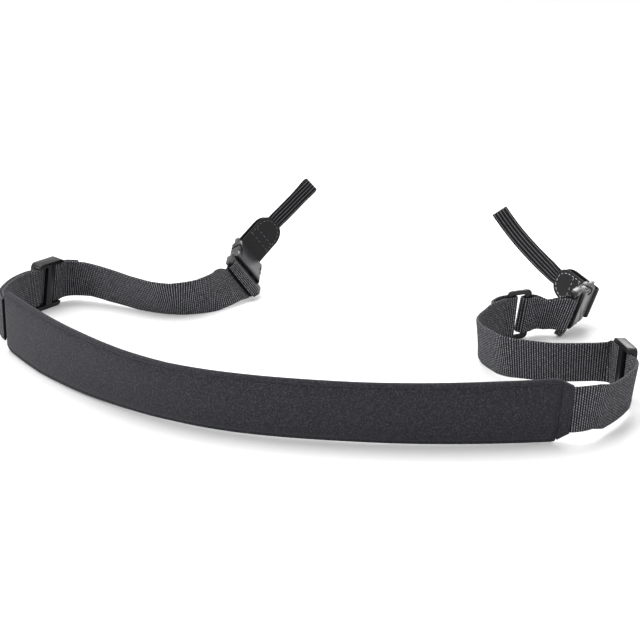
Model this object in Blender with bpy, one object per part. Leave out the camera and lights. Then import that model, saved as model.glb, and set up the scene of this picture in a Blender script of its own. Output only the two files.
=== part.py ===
"""Camera neck strap: a neoprene neck pad, two adjustable webbing arms, side-release
buckles, leather tabs and doubled ribbed lug straps, standing on its lower edges.
"""

import math
from collections import namedtuple

import bmesh
import bpy
from mathutils import Matrix, Vector

MM = 0.001

# Driving sizes
PAD_LENGTH = 368 * MM
PAD_WIDTH = 36.5 * MM
PAD_THICKNESS = 6.4 * MM
PAD_EDGE_THICKNESS = 3.4 * MM
PAD_CORNER = 9 * MM
PAD_END_CORNER = 3 * MM
PAD_END_WIDTH = 34 * MM
TAB_LENGTH = 6 * MM
TAB_WIDTH = 27.5 * MM
TAB_THICKNESS = 4.2 * MM
WEBBING_WIDTH = 25.4 * MM
WEBBING_THICKNESS = 1.6 * MM
LEFT_TURN = 75 * MM
LEFT_REACH = 145 * MM
TAIL_PAST_SLIDER = 12 * MM
RIGHT_FRONT = 70.5 * MM
RIGHT_BACK = 139.6 * MM
RIGHT_LINK = 21.6 * MM
LINK_WIDTH = 22 * MM
LINK_SLACK = 0.8 * MM
LINK_SKEW = 0.087
FOLD_BACK = 12 * MM
LEFT_FOLD_BACK = 6.5 * MM
SLIDER_LENGTH = 23 * MM
SLIDER_RUN = 1.5 * MM
SLIDER_BAR = 2.6 * MM
SLIDER_END_BAR = 3 * MM
SLIDER_CENTRE_BAR = 5.6 * MM
SLIDER_RAIL = 2.7 * MM
SLIDER_CORNER = 4 * MM
RING_LENGTH = 16.5 * MM
RING_BAR = 4.2 * MM
RING_THICKNESS = 2.2 * MM
BUCKLE_REACH = 32.6 * MM
BUCKLE_WIDTH = 31 * MM
SOCKET_WIDTH = 26 * MM
BUCKLE_THICKNESS = 8.4 * MM
BUCKLE_SHOULDER = 2.6 * MM
WINDOW_DEPTH = 3.4 * MM
BUCKLE_WALL = 1.7 * MM
BUCKLE_BAR = 2.4 * MM
BUCKLE_ARM = 2.2 * MM
SOCKET_LENGTH = 19 * MM
LEATHER_WIDTH = 20 * MM
LEATHER_THICKNESS = 1.1 * MM
LEATHER_LENGTH = 28 * MM
LEATHER_TIP = 6 * MM
LEATHER_ROOM = 1.4 * MM
RIGHT_LEATHER_SLACK = 3 * MM
LUG_STRAP_WIDTH = 10.5 * MM
LUG_STRAP_THICKNESS = 1.1 * MM
LUG_STRAP_RIBS = 5
RIB_DEPTH = 0.35 * MM
LEFT_LUG_STRAP = 36 * MM
RIGHT_LUG_STRAP = 60 * MM
RING_ROOM = 3 * MM

# Clearances
SEAT = 0.3 * MM
PLAY = 0.4 * MM
LAYER_GAP = 0.4 * MM

# Fineness of the bands
STEP = 3.4 * MM
PAD_STEP = 6.5 * MM
LUG_STEP = 5 * MM
FOLD_STEPS = 6

WEBBING_HALF = WEBBING_THICKNESS / 2
SLIDER_HEIGHT = WEBBING_WIDTH + 2 * (PLAY + SLIDER_RAIL)
SLIDER_WEAVE = 1 * MM
PAD_END_LIFT = (PAD_WIDTH - WEBBING_WIDTH) / 2
SLIDER_LIFT = (SLIDER_HEIGHT - WEBBING_WIDTH) / 2 + SEAT
BAR_CORNER = BUCKLE_BAR / math.sqrt(2)
BAR_WRAP = BAR_CORNER + SEAT + WEBBING_HALF
SLIDER_WRAP = SLIDER_BAR / 2 + SEAT + WEBBING_HALF
RING_FOLD_SET = RING_BAR - SLIDER_BAR / 4
BAR_CLEAR = BAR_WRAP + WEBBING_HALF
BASE_START = BAR_CLEAR + PLAY
BAR_APPROACH = 14 * MM
SOCKET_BAR_CLEAR = BAR_CORNER + SEAT + LEATHER_THICKNESS + PLAY + LEATHER_ROOM
SOCKET_END = BUCKLE_REACH - SOCKET_BAR_CLEAR
SOCKET_START = SOCKET_END - SOCKET_LENGTH
LEATHER_HALF = LEATHER_THICKNESS / 2
LUG_LAYER = LUG_STRAP_THICKNESS / 2 + LAYER_GAP / 2
LEATHER_LEAF = 2 * LUG_LAYER + SEAT + LEATHER_HALF

# Where the pad's left end stands and which way it points, in degrees from +X
PAD_START = Vector((-183 * MM, 897 * MM, 0))
PAD_HEADING = -62

WEBBING_SIZE = (WEBBING_WIDTH, WEBBING_THICKNESS)

Frame = namedtuple("Frame", "point along across face")
Lay = namedtuple("Lay", "share heading lean lift")
Hang = namedtuple("Hang", "share heading pitch lean")

# Each row: share of the span, turn from the pad's heading, lean to the right, lift of the lower edge
PAD_ROWS = (
    Lay(0.00, 0, 0, 0),
    Lay(0.14, 6, 0, 0),
    Lay(0.27, 13, 6, 0),
    Lay(0.37, 20, 13, 0),
    Lay(0.46, 30, 17, 0),
    Lay(0.55, 42, 17, 0),
    Lay(0.63, 49.5, 17.5, 0),
    Lay(0.73, 54.5, 18, 0),
    Lay(0.83, 62, 16.5, 0),
    Lay(0.92, 67, 14.5, 0),
    Lay(1.00, 71, 13, 0),
)
LEFT_TURN_ROWS = (
    Lay(0.00, 180, 0, PAD_END_LIFT),
    Lay(0.20, 165.5, 2, PAD_END_LIFT),
    Lay(0.42, 153, 2, SLIDER_LIFT),
    Lay(0.70, 141, 4, SLIDER_LIFT),
    Lay(0.90, 127, 8, SLIDER_LIFT),
    Lay(1.00, 120, 9, SLIDER_LIFT),
)
LEFT_REACH_ROWS = (
    Lay(0.00, 120, 10, SLIDER_LIFT),
    Lay(0.05, 64, 14.5, SLIDER_LIFT),
    Lay(0.13, 42, 16.5, SLIDER_LIFT),
    Lay(0.22, 31, 15, SLIDER_LIFT / 2),
    Lay(0.38, 25, 19, 0),
    Lay(0.50, 32.5, 24.5, 0),
    Lay(0.58, 56, 26, 0),
    Lay(0.68, 91.5, 18, 0),
    Lay(0.80, 117, -3, 0),
    Lay(0.92, 118, -23.5, SLIDER_LIFT / 2),
    Lay(1.00, 123, -33, SLIDER_LIFT),
)
RIGHT_FRONT_ROWS = (
    Lay(0.00, 71, 8, PAD_END_LIFT),
    Lay(0.10, 82, 8, PAD_END_LIFT),
    Lay(0.20, 97, 11, PAD_END_LIFT),
    Lay(0.33, 114, 11, SLIDER_LIFT),
    Lay(0.50, 117, 10.5, SLIDER_LIFT),
    Lay(0.75, 126, 10, SLIDER_LIFT),
    Lay(0.90, 142, 7, SLIDER_LIFT),
    Lay(1.00, 161, 4, SLIDER_LIFT),
)
RIGHT_BACK_ROWS = (
    Lay(0.00, 161, 2, SLIDER_LIFT),
    Lay(0.04, 244, -14, SLIDER_LIFT),
    Lay(0.08, 236, -17.5, SLIDER_LIFT),
    Lay(0.25, 226, -17, SLIDER_LIFT / 2),
    Lay(0.40, 220.5, -15, SLIDER_LIFT / 2),
    Lay(0.45, 195, -12, SLIDER_LIFT / 2),
    Lay(0.50, 176, -9, SLIDER_LIFT / 2),
    Lay(0.58, 172, -9, SLIDER_LIFT / 2),
    Lay(0.68, 150.5, -6, SLIDER_LIFT / 2),
    Lay(0.74, 138.5, 0, SLIDER_LIFT / 2),
    Lay(0.80, 124.5, 2.5, SLIDER_LIFT / 2),
    Lay(0.87, 122.5, 5, SLIDER_LIFT),
    Lay(0.95, 121.5, 5, SLIDER_LIFT),
    Lay(1.00, 88, 8, SLIDER_LIFT),
)
RIGHT_LINK_ROWS = (
    Lay(0.00, 88, 8, SLIDER_LIFT),
    Lay(0.40, 52, 32, SLIDER_LIFT),
    Lay(0.70, 50, 34, SLIDER_LIFT),
    Lay(1.00, 64, 26, 1.2 * SLIDER_LIFT),
)

# Each row: share of the span, heading from +X, pitch above the floor and lean, in degrees
LEFT_BUCKLE = Hang(0, 86, 17, -34)
LEFT_TAB = Hang(0, 40.5, 29, -25)
RIGHT_BUCKLE = Hang(0, 61, 1.5, 20)
RIGHT_TAB = Hang(0, 127, 18, 6)
LEFT_LUG_ROWS = (
    Hang(0.00, 40, 33, -22),
    Hang(0.40, 34, 37, -14),
    Hang(1.00, 29, 41, -10),
)
RIGHT_LUG_ROWS = (
    Hang(0.00, 125, 22, 12),
    Hang(0.45, 131.5, 32, 34),
    Hang(1.00, 137, 46, 38),
)


def clear_scene():
    for old in list(bpy.data.objects):
        bpy.data.objects.remove(old)


def material(name, colour, roughness):
    made = bpy.data.materials.new(name)
    made.use_nodes = True
    shader = made.node_tree.nodes["Principled BSDF"]
    shader.inputs["Base Color"].default_value = (*colour, 1)
    shader.inputs["Roughness"].default_value = roughness
    shader.inputs["Metallic"].default_value = 0
    return made


def ease(x):
    """Smooth step from 0 to 1."""
    x = min(max(x, 0), 1)
    return x * x * (3 - 2 * x)


def value_at(rows, share, column):
    """A column of a table at a share of its span, straight between the rows."""
    for low, high in zip(rows, rows[1:]):
        if share <= high.share:
            part = (share - low.share) / (high.share - low.share)
            return getattr(low, column) * (1 - part) + getattr(high, column) * part
    return getattr(rows[-1], column)


def frame_of(point, heading, pitch, lean):
    """A band's frame: along it, across it to the upper edge, and out of its right-hand face."""
    h, p, tilt = (math.radians(angle) for angle in (heading, pitch, lean))
    along = Vector((math.cos(p) * math.cos(h), math.cos(p) * math.sin(h), math.sin(p)))
    up = Vector((-math.sin(p) * math.cos(h), -math.sin(p) * math.sin(h), math.cos(p)))
    side = along.cross(up)
    across = up * math.cos(tilt) + side * math.sin(tilt)
    return Frame(Vector(point), along, across, along.cross(across))


def laid_span(start, rows, length, width, thickness, step=STEP):
    """Frames along a band that stands on its lower edge, from a plan point."""
    count = max(2, math.ceil(length / step))
    plan = Vector((start.x, start.y))
    frames = []
    for index in range(count + 1):
        share = index / count
        heading = PAD_HEADING + value_at(rows, share, "heading")
        lean = value_at(rows, share, "lean")
        tilt = math.radians(lean)
        half_height = width / 2 * math.cos(tilt) + thickness / 2 * abs(math.sin(tilt))
        z = value_at(rows, share, "lift") + half_height
        frames.append(frame_of((plan.x, plan.y, z), heading, 0, lean))
        middle = PAD_HEADING + value_at(rows, share + 0.5 / count, "heading")
        turn = math.radians(middle)
        plan += Vector((math.cos(turn), math.sin(turn))) * length / count
    return frames


def hung_span(start, rows, length):
    """Frames along a band that rises clear of the floor."""
    count = max(2, math.ceil(length / LUG_STEP))
    point = Vector(start)
    frames = []
    for index in range(count + 1):
        share = index / count
        angles = [value_at(rows, share, name) for name in ("heading", "pitch", "lean")]
        frames.append(frame_of(point, *angles))
        point = point + frames[-1].along * length / count
    return frames


def moved(frame, along=0.0, across=0.0, face=0.0):
    point = frame.point + frame.along * along + frame.across * across + frame.face * face
    return frame._replace(point=point)


def pivoted(frame, across):
    """The frame turned the least that brings its across onto a bar's direction."""
    along = (frame.along - across * frame.along.dot(across)).normalized()
    return Frame(frame.point, along, across, along.cross(across))


def meeting(frames, across, blend):
    """The frames twisted and slid over the last stretch so that the band meets a bar squarely."""
    run = lengths_along(frames)
    met = []
    for frame, s in zip(frames, run):
        part = ease(1 - (run[-1] - s) / blend)
        mixed = (frame.across * (1 - part) + across * part).normalized()
        near = ease(1 - (run[-1] - s) / BAR_APPROACH)
        aside = (frame.point - frames[-1].point).dot(across) * near
        met.append(pivoted(frame._replace(point=frame.point - across * aside), mixed))
    return met


def turned_back(frame):
    """The same place, facing the other way."""
    return frame._replace(along=-frame.along, face=-frame.face)


def lengths_along(frames):
    """Distance of each frame from the first."""
    found = [0.0]
    for one, other in zip(frames, frames[1:]):
        found.append(found[-1] + (other.point - one.point).length)
    return found


def fold(frame, radius):
    """Frames half round a bar at the end of a doubled band."""
    turns = [math.pi * step / FOLD_STEPS for step in range(FOLD_STEPS + 1)]
    return [
        Frame(
            frame.point + (frame.along * math.sin(turn) + frame.face * math.cos(turn)) * radius,
            frame.along * math.cos(turn) - frame.face * math.sin(turn),
            frame.across,
            frame.along * math.sin(turn) + frame.face * math.cos(turn),
        )
        for turn in turns
    ]


def fold_under(frame, radius):
    """The same, starting behind the bar and ending in front of it."""
    turned = []
    for step in range(FOLD_STEPS + 1):
        turn = math.pi * step / FOLD_STEPS
        out = frame.along * math.sin(turn) - frame.face * math.cos(turn)
        on = frame.along * math.cos(turn) + frame.face * math.sin(turn)
        turned.append(Frame(frame.point + out * radius, on, frame.across, -out))
    return turned


def leg(frames, near, at_fold, blend):
    """Frames offset to near, and out to at_fold over the last stretch."""
    run = lengths_along(frames)
    return [
        moved(frame, face=near + (at_fold - near) * ease(1 - (run[-1] - s) / blend))
        for frame, s in zip(frames, run)
    ]


def leg_until(frames, near, at_fold, blend, straight):
    """Frames offset to near, out to at_fold over a stretch, and straight on to the fold."""
    run = lengths_along(frames)
    return [
        moved(frame, face=near + (at_fold - near) * ease(1 - (run[-1] - straight - s) / blend))
        for frame, s in zip(frames, run)
    ]


def slider_weave(distance):
    """Offset of a webbing that passes behind a slider's centre bar and before its end bars."""
    slot_start = SLIDER_CENTRE_BAR / 2 + SEAT
    slot_end = SLIDER_LENGTH / 2 - SLIDER_END_BAR - SEAT
    out = ease((abs(distance) - slot_start) / (slot_end - slot_start))
    back = ease((abs(distance) - SLIDER_LENGTH / 2) / (SLIDER_LENGTH / 3))
    return SLIDER_WEAVE * (2 * out - 1) * (1 - back)


def woven(frames, slider_at, side=1, aside=0.0):
    """The frames carried through a slider, its centre bar on one side, at a distance along them."""
    run = lengths_along(frames)
    return [
        moved(frame, face=side * slider_weave(s - slider_at) + aside) for frame, s in zip(frames, run)
    ]


def flat_section(width, thickness):
    """A band's section with its two edges rounded off."""
    w, t = width / 2, thickness / 2
    return [(-w, -t / 2), (-w + t / 2, -t), (w - t / 2, -t), (w, -t / 2),
            (w, t / 2), (w - t / 2, t), (-w + t / 2, t), (-w, t / 2)]


def ribbed_section(width, thickness):
    """A narrow strap's section, with lengthwise ribs on both faces."""
    pitch = width / LUG_STRAP_RIBS
    upper = [(-width / 2, thickness / 2 - RIB_DEPTH)]
    for rib in range(LUG_STRAP_RIBS):
        left = -width / 2 + rib * pitch
        upper.append((left + pitch / 2, thickness / 2))
        upper.append((left + pitch, thickness / 2 - RIB_DEPTH))
    return upper + [(across, -face) for across, face in reversed(upper)]


def padded_section(width, thickness, edge):
    """The pad's section: two gently crowned faces and thinner rounded edges."""
    w, t, e = width / 2, thickness / 2, edge / 2
    upper = [(-w, e * 0.4), (-w * 0.96, e), (-w * 0.7, t), (w * 0.7, t), (w * 0.96, e), (w, e * 0.4)]
    return upper + [(across, -face) for across, face in reversed(upper)]


WEBBING_SECTION = flat_section(*WEBBING_SIZE)


def new_object(name, mesh, finish):
    made = bpy.data.objects.new(name, mesh)
    bpy.context.scene.collection.objects.link(made)
    made.data.materials.append(finish)
    return made


def band(name, frames, sections, finish, closed=False):
    """A solid swept along frames, with one section for each frame."""
    shape = bmesh.new()
    rings = []
    for frame, section in zip(frames, sections):
        spots = [frame.point + frame.across * across + frame.face * face for across, face in section]
        rings.append([shape.verts.new(spot) for spot in spots])
    pairs = list(zip(rings, rings[1:]))
    if closed:
        pairs.append((rings[-1], rings[0]))
    for one, other in pairs:
        count = len(one)
        for corner in range(count):
            after = (corner + 1) % count
            shape.faces.new((one[corner], one[after], other[after], other[corner]))
    if not closed:
        shape.faces.new(rings[0])
        shape.faces.new(rings[-1])
    bmesh.ops.recalc_face_normals(shape, faces=shape.faces)
    mesh = bpy.data.meshes.new(name)
    shape.to_mesh(mesh)
    shape.free()
    mesh.shade_smooth()
    mesh.set_sharp_from_angle(angle=math.radians(35))
    return new_object(name, mesh, finish)


def prism_mesh(name, outline, low, high):
    """A flat outline along and across, given its thickness out of the face."""
    shape = bmesh.new()
    base = shape.faces.new([shape.verts.new((along, across, low)) for along, across in outline])
    grown = bmesh.ops.extrude_face_region(shape, geom=[base])
    raised = [item for item in grown["geom"] if isinstance(item, bmesh.types.BMVert)]
    bmesh.ops.translate(shape, verts=raised, vec=(0, 0, high - low))
    bmesh.ops.recalc_face_normals(shape, faces=shape.faces)
    mesh = bpy.data.meshes.new(name)
    shape.to_mesh(mesh)
    shape.free()
    return mesh


def box_outline(start, end, low, high):
    return [(start, low), (end, low), (end, high), (start, high)]


def placed(made, frame):
    """Stands an object at a frame: its X along, its Y across and its Z out of the face."""
    axes = Matrix((frame.along, frame.across, frame.along.cross(frame.across))).transposed()
    made.matrix_world = Matrix.Translation(frame.point) @ axes.to_4x4()
    return made


def carved(made, cuts):
    """Cuts boxes, each given as start, end, low, high across, and low, high out, from a piece."""
    for start, end, low, high, bottom, top in cuts:
        worked(made, "DIFFERENCE", prism_mesh("cutter", box_outline(start, end, low, high), bottom, top))
    return made


def worked(made, operation, mesh):
    """Works a solid given in the piece's own place into the piece."""
    name = f"{made.name}_cutter_{len(made.modifiers)}"
    mesh.name = name
    cutter = bpy.data.objects.new(name, mesh)
    bpy.context.scene.collection.objects.link(cutter)
    cutter.hide_render = True
    cutter.display_type = "WIRE"
    cutter.matrix_world = made.matrix_world
    modifier = made.modifiers.new(name, "BOOLEAN")
    modifier.operation = operation
    modifier.solver = "EXACT"
    modifier.object = cutter
    return made


def slider_plate(name, finish, low, high, plate_length=SLIDER_LENGTH):
    """A slider's or ring's plate, with the corners cut off."""
    length, height, corner = plate_length / 2, SLIDER_HEIGHT / 2, SLIDER_CORNER
    rise = corner * 0.75
    outline = [
        (-length, -height + rise), (-length + corner, -height),
        (length - corner, -height), (length, -height + rise),
        (length, height - rise), (length - corner, height),
        (-length + corner, height), (-length, height - rise),
    ]
    return new_object(name, prism_mesh(name, outline, low, high), finish)


def woven_slider(name, frame, finish, layers):
    """A slider whose centre bar lies over the webbing and whose end bars lie under it."""
    centre_under = -SLIDER_WEAVE + WEBBING_HALF + SEAT
    top = centre_under + SLIDER_BAR
    end_top = SLIDER_WEAVE - WEBBING_HALF - SEAT - (layers - 1) * (WEBBING_THICKNESS + LAYER_GAP)
    bottom = end_top - SLIDER_BAR
    inner = WEBBING_WIDTH / 2 + PLAY
    slot_end = SLIDER_LENGTH / 2 - SLIDER_END_BAR
    slot_start = SLIDER_CENTRE_BAR / 2
    beyond = SLIDER_LENGTH
    cuts = [
        (slot_start, slot_end, -inner, inner, -beyond, beyond),
        (-slot_end, -slot_start, -inner, inner, -beyond, beyond),
        (slot_start, beyond, -inner, inner, end_top, beyond),
        (-beyond, -slot_start, -inner, inner, end_top, beyond),
        (-slot_end, slot_end, -inner, inner, -beyond, centre_under),
    ]
    return carved(placed(slider_plate(name, finish, bottom, top), frame), cuts)


def strap_ring(name, frame, finish):
    """A flat rectangular ring with a webbing looped round each of its two wide bars."""
    inner = WEBBING_WIDTH / 2 + PLAY
    opening = RING_LENGTH / 2 - RING_BAR
    plate = slider_plate(name, finish, -RING_THICKNESS / 2, RING_THICKNESS / 2, RING_LENGTH)
    beyond = RING_LENGTH
    return carved(placed(plate, frame), [(-opening, opening, -inner, inner, -beyond, beyond)])


def buckle_plug(name, frame, finish):
    """The plug: a webbing bar, a base, a guide and two prongs with pads in the socket's windows."""
    half = BUCKLE_WIDTH / 2
    hollow = SOCKET_WIDTH / 2 - BUCKLE_WALL - PLAY
    base_end = SOCKET_START - SEAT
    prong_in = hollow * 0.5
    prong_out = hollow * 0.76
    head_start = SOCKET_START + SOCKET_LENGTH * 0.38
    head_end = SOCKET_START + SOCKET_LENGTH * 0.72
    guide = hollow * 0.16
    pad_out = SOCKET_WIDTH / 2 - 0.9 * MM
    pad_in = SOCKET_WIDTH / 2 - WINDOW_DEPTH + PLAY
    quarter = [
        (-BUCKLE_BAR / 2, half - 1 * MM), (-BUCKLE_BAR / 2 + 1 * MM, half),
        (base_end - 1.5 * MM, half), (base_end, half - 1.5 * MM),
        (base_end, prong_out), (head_start, prong_out),
        (head_start + 1 * MM, pad_out), (head_end - 2 * MM, pad_out),
        (head_end, prong_out), (head_end, prong_in),
        (base_end, prong_in), (base_end, guide), (head_end, guide),
    ]
    outline = quarter + [(along, -across) for along, across in reversed(quarter)]
    core = BUCKLE_THICKNESS / 2 - BUCKLE_WALL - PLAY
    plug = placed(new_object(name, prism_mesh(name, outline, -core, core), finish), frame)
    pad_high = BUCKLE_THICKNESS / 2 - 0.5 * MM
    for sign in (1, -1):
        across = sorted((sign * pad_in, sign * (pad_out - 0.2 * MM)))
        pad = box_outline(head_start + 0.2 * MM, head_end - 0.2 * MM, *across)
        worked(plug, "UNION", prism_mesh("pad", pad, -pad_high, pad_high))
    inner = WEBBING_WIDTH / 2 + PLAY
    thin = BUCKLE_BAR / 2
    beyond = BUCKLE_WIDTH
    return carved(plug, [
        (BUCKLE_BAR / 2, BASE_START, -inner, inner, -beyond, beyond),
        (-beyond, BUCKLE_BAR, -inner, inner, thin, beyond),
        (-beyond, BUCKLE_BAR, -inner, inner, -beyond, -thin),
    ])


def buckle_socket(name, frame, finish):
    """The socket: a hollow housing, its narrow sides rounded off and open, and a leather bar."""
    half = SOCKET_WIDTH / 2
    arm = LEATHER_WIDTH / 2 + PLAY + BUCKLE_ARM
    rear = BUCKLE_REACH + BUCKLE_BAR / 2
    waist = half - 0.6 * MM
    side = [
        (SOCKET_START, half), (SOCKET_START + SOCKET_LENGTH * 0.2, half),
        (SOCKET_START + SOCKET_LENGTH * 0.36, waist), (SOCKET_START + SOCKET_LENGTH * 0.75, waist),
        (SOCKET_END, arm), (rear - 1 * MM, arm), (rear, arm - 1 * MM),
    ]
    outline = side + [(along, -across) for along, across in reversed(side)]
    out = BUCKLE_THICKNESS / 2
    socket = placed(new_object(name, prism_mesh(name, outline, -out, out), finish), frame)
    lengthwise = Matrix(((0, 0, 1, 0), (1, 0, 0, 0), (0, 1, 0, 0), (0, 0, 0, 1)))
    eighth = [(half, out - BUCKLE_SHOULDER), (half - BUCKLE_SHOULDER * 1.2, out)]
    upper = eighth + [(-across, face) for across, face in reversed(eighth)]
    round_sides = upper + [(across, -face) for across, face in reversed(upper)]
    envelope = prism_mesh("envelope", round_sides, 0, 2 * BUCKLE_REACH)
    envelope.transform(lengthwise)
    worked(socket, "INTERSECT", envelope)
    hollow = half - BUCKLE_WALL - 0.6 * MM
    core = out - BUCKLE_WALL
    window_start = SOCKET_START + SOCKET_LENGTH * 0.34
    window_end = SOCKET_START + SOCKET_LENGTH * 0.76
    inner = LEATHER_WIDTH / 2 + PLAY
    thin = BUCKLE_BAR / 2
    beyond = BUCKLE_WIDTH
    sill = half - WINDOW_DEPTH
    for sign in (1, -1):
        window = [
            (window_start, sign * (sill + 1.6 * MM)), (window_start + 1.2 * MM, sign * sill),
            (window_end - 1.2 * MM, sign * sill), (window_end, sign * (sill + 1.6 * MM)),
            (window_end, sign * beyond), (window_start, sign * beyond),
        ]
        worked(socket, "DIFFERENCE", prism_mesh("window", window[::sign], -beyond, beyond))
    return carved(socket, [
        (0, SOCKET_END - 2 * BUCKLE_WALL, -hollow, hollow, -core, core),
        (SOCKET_END, BUCKLE_REACH - BUCKLE_BAR / 2, -inner, inner, -beyond, beyond),
        (SOCKET_END, beyond + BUCKLE_REACH, -beyond, beyond, thin, beyond),
        (SOCKET_END, beyond + BUCKLE_REACH, -beyond, beyond, -beyond, -thin),
    ])


def leather_width(distance):
    """Width of a leather tab at a distance from the middle of its bar: a round end."""
    left = LEATHER_LENGTH - distance
    end_radius = LEATHER_WIDTH * 0.5
    if left >= end_radius:
        return LEATHER_WIDTH
    rounded = math.sqrt(max(0.0, end_radius**2 - (end_radius - left) ** 2))
    return LEATHER_TIP + (LEATHER_WIDTH - LEATHER_TIP) * rounded / end_radius


def leather_tab(name, frame, finish, slack):
    """A leather strip looped round the socket's bar, its two leaves over the lug strap."""
    wrap = BAR_CORNER + SEAT + LEATHER_HALF
    count = math.ceil(LEATHER_LENGTH / STEP)
    steps = [LEATHER_LENGTH * (1 - step / count) - slack for step in range(count + 1)]
    middle = [moved(frame, along=reach) for reach in steps]
    middle = [turned_back(spot) for spot in middle]
    over = leg(middle, LEATHER_LEAF, wrap, LEATHER_LENGTH * 0.45)
    under = leg(middle, -LEATHER_LEAF, -wrap, LEATHER_LENGTH * 0.45)
    folded = over[:-1] + fold(middle[-1], wrap) + [turned_back(spot) for spot in reversed(under[:-1])]
    sections = []
    for spot in folded:
        distance = (spot.point - frame.point).dot(frame.along) + slack
        sections.append(flat_section(leather_width(max(distance, 0)), LEATHER_THICKNESS))
    return band(name, folded, sections, finish)


def lug_strap(name, frames, finish):
    """A narrow ribbed strap, doubled, with a small open fold for a ring at its far end."""
    radius = (RING_ROOM + LUG_STRAP_THICKNESS) / 2
    blend = 12 * MM
    over = leg(frames, LUG_LAYER, radius, blend)
    under = leg(frames, -LUG_LAYER, -radius, blend)
    folded = over[:-1] + fold(frames[-1], radius) + [turned_back(spot) for spot in reversed(under[:-1])]
    section = ribbed_section(LUG_STRAP_WIDTH, LUG_STRAP_THICKNESS)
    return band(name, folded, [section] * len(folded), finish)


def neck_pad(frames, finish):
    """The neoprene pad, crowned, with thinner sewn ends: one well rounded, one nearly square."""
    run = lengths_along(frames)
    sections = []
    for s in run:
        ends = ((s, PAD_CORNER, TAB_WIDTH), (run[-1] - s, PAD_END_CORNER, PAD_END_WIDTH))
        left, reach, end_width = min(ends)
        corner = math.sqrt(max(0.0, 1 - (1 - min(left / reach, 1)) ** 2))
        width = end_width + (PAD_WIDTH - end_width) * corner
        fullness = 0.45 + 0.55 * corner
        thickness = TAB_THICKNESS + (PAD_THICKNESS - TAB_THICKNESS) * fullness
        sections.append(padded_section(width, thickness, PAD_EDGE_THICKNESS))
    return band("neck_pad", frames, sections, finish)


def finer_ends(frames, start_radius, end_radius, steps):
    """Adds frames within the corners at both ends, where the width changes fastest."""
    first, last = frames[0], frames[-1]
    shares = [1 - math.cos(math.pi / 2 * step / steps) for step in range(1, steps)]
    opening = [moved(first, along=start_radius * share) for share in shares]
    closing = [moved(last, along=-end_radius * share) for share in [1, *reversed(shares)]]
    middle = [
        spot for spot in frames
        if (spot.point - first.point).length > start_radius
        and (spot.point - last.point).length > 1.5 * end_radius
    ]
    return [first, *opening, *middle, *closing, last]


def build():
    neoprene = material("neoprene", (0.045, 0.045, 0.05), 0.85)
    nylon = material("nylon_webbing", (0.03, 0.03, 0.034), 0.7)
    plastic = material("black_plastic", (0.025, 0.025, 0.028), 0.35)
    leather = material("black_leather", (0.018, 0.018, 0.02), 0.5)

    pad = laid_span(PAD_START, PAD_ROWS, PAD_LENGTH, PAD_WIDTH, PAD_THICKNESS, PAD_STEP)
    neck_pad(finer_ends(pad, PAD_CORNER, PAD_END_CORNER, 4), neoprene)
    right_arm(pad[-1], neoprene, nylon, plastic, leather)
    left_arm(turned_back(pad[0]), nylon, plastic, leather)


def right_arm(pad_end, neoprene, nylon, plastic, leather):
    """Pad tab, webbing through the outer slider and back to the strap ring, link, buckle."""
    tab = [moved(pad_end, along=SEAT), moved(pad_end, along=SEAT + TAB_LENGTH)]
    tab_sections = [
        padded_section(width, TAB_THICKNESS, PAD_EDGE_THICKNESS) for width in (PAD_END_WIDTH, TAB_WIDTH)
    ]
    band("pad_end_tab", tab, tab_sections, neoprene)

    start = moved(tab[-1], along=SEAT).point
    front = laid_span(start, RIGHT_FRONT_ROWS, RIGHT_FRONT, *WEBBING_SIZE)
    run_through = SLIDER_LENGTH + 2 * SLIDER_RUN
    through = straight_on(front[-1], run_through)
    back = laid_span(through[-1].point, RIGHT_BACK_ROWS, RIGHT_BACK, *WEBBING_SIZE)
    arm = woven(front[:-1] + through[:-1] + back, RIGHT_FRONT + run_through / 2, -1)
    ring_frame = moved(back[-1], along=RING_LENGTH / 2)
    to_bar = straight_on(back[-1], RING_FOLD_SET)
    aside = -(WEBBING_THICKNESS + LAYER_GAP)
    returning = back[-1 - math.ceil(FOLD_BACK / STEP):-1] + to_bar
    arm = leg(arm, 0, SLIDER_WRAP, FOLD_BACK * 2) + [moved(spot, face=SLIDER_WRAP) for spot in to_bar[1:-1]]
    behind = leg_until(returning, aside, -SLIDER_WRAP, FOLD_BACK * 0.8, RING_BAR)
    arm += fold(to_bar[-1], SLIDER_WRAP) + [turned_back(spot) for spot in reversed(behind[:-1])]
    band("right_webbing", arm, [WEBBING_SECTION] * len(arm), nylon)
    outer = turned_back(moved(front[-1], along=run_through / 2))
    woven_slider("right_outer_slider", outer, plastic, 1)
    strap_ring("right_strap_ring", ring_frame, plastic)

    bar_at = RING_LENGTH / 2 - RING_FOLD_SET - LINK_SLACK
    over_bar = RING_LENGTH / 2 - bar_at
    first = straight_on(moved(ring_frame, along=bar_at), over_bar + SLIDER_RUN)
    rest = laid_span(first[-1].point, RIGHT_LINK_ROWS, RIGHT_LINK, *WEBBING_SIZE)
    buckle = buckle_frame(rest[-1].point, RIGHT_BUCKLE)
    link = skewed(meeting(first[:-1] + rest, buckle.across, RIGHT_LINK), over_bar)
    near = WEBBING_HALF + LAYER_GAP / 2
    ring = doubled_ring(link, near, SLIDER_WRAP, BAR_WRAP, RIGHT_LINK * 0.4, over_bar)
    sections = [flat_section(LINK_WIDTH, WEBBING_THICKNESS)] * len(ring)
    band("right_link_webbing", ring, sections, nylon, closed=True)
    finishes = (plastic, leather, nylon)
    lug_rows = (RIGHT_LUG_ROWS, RIGHT_LUG_STRAP)
    finish_arm("right", buckle, RIGHT_TAB, RIGHT_LEATHER_SLACK, *lug_rows, *finishes)


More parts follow.
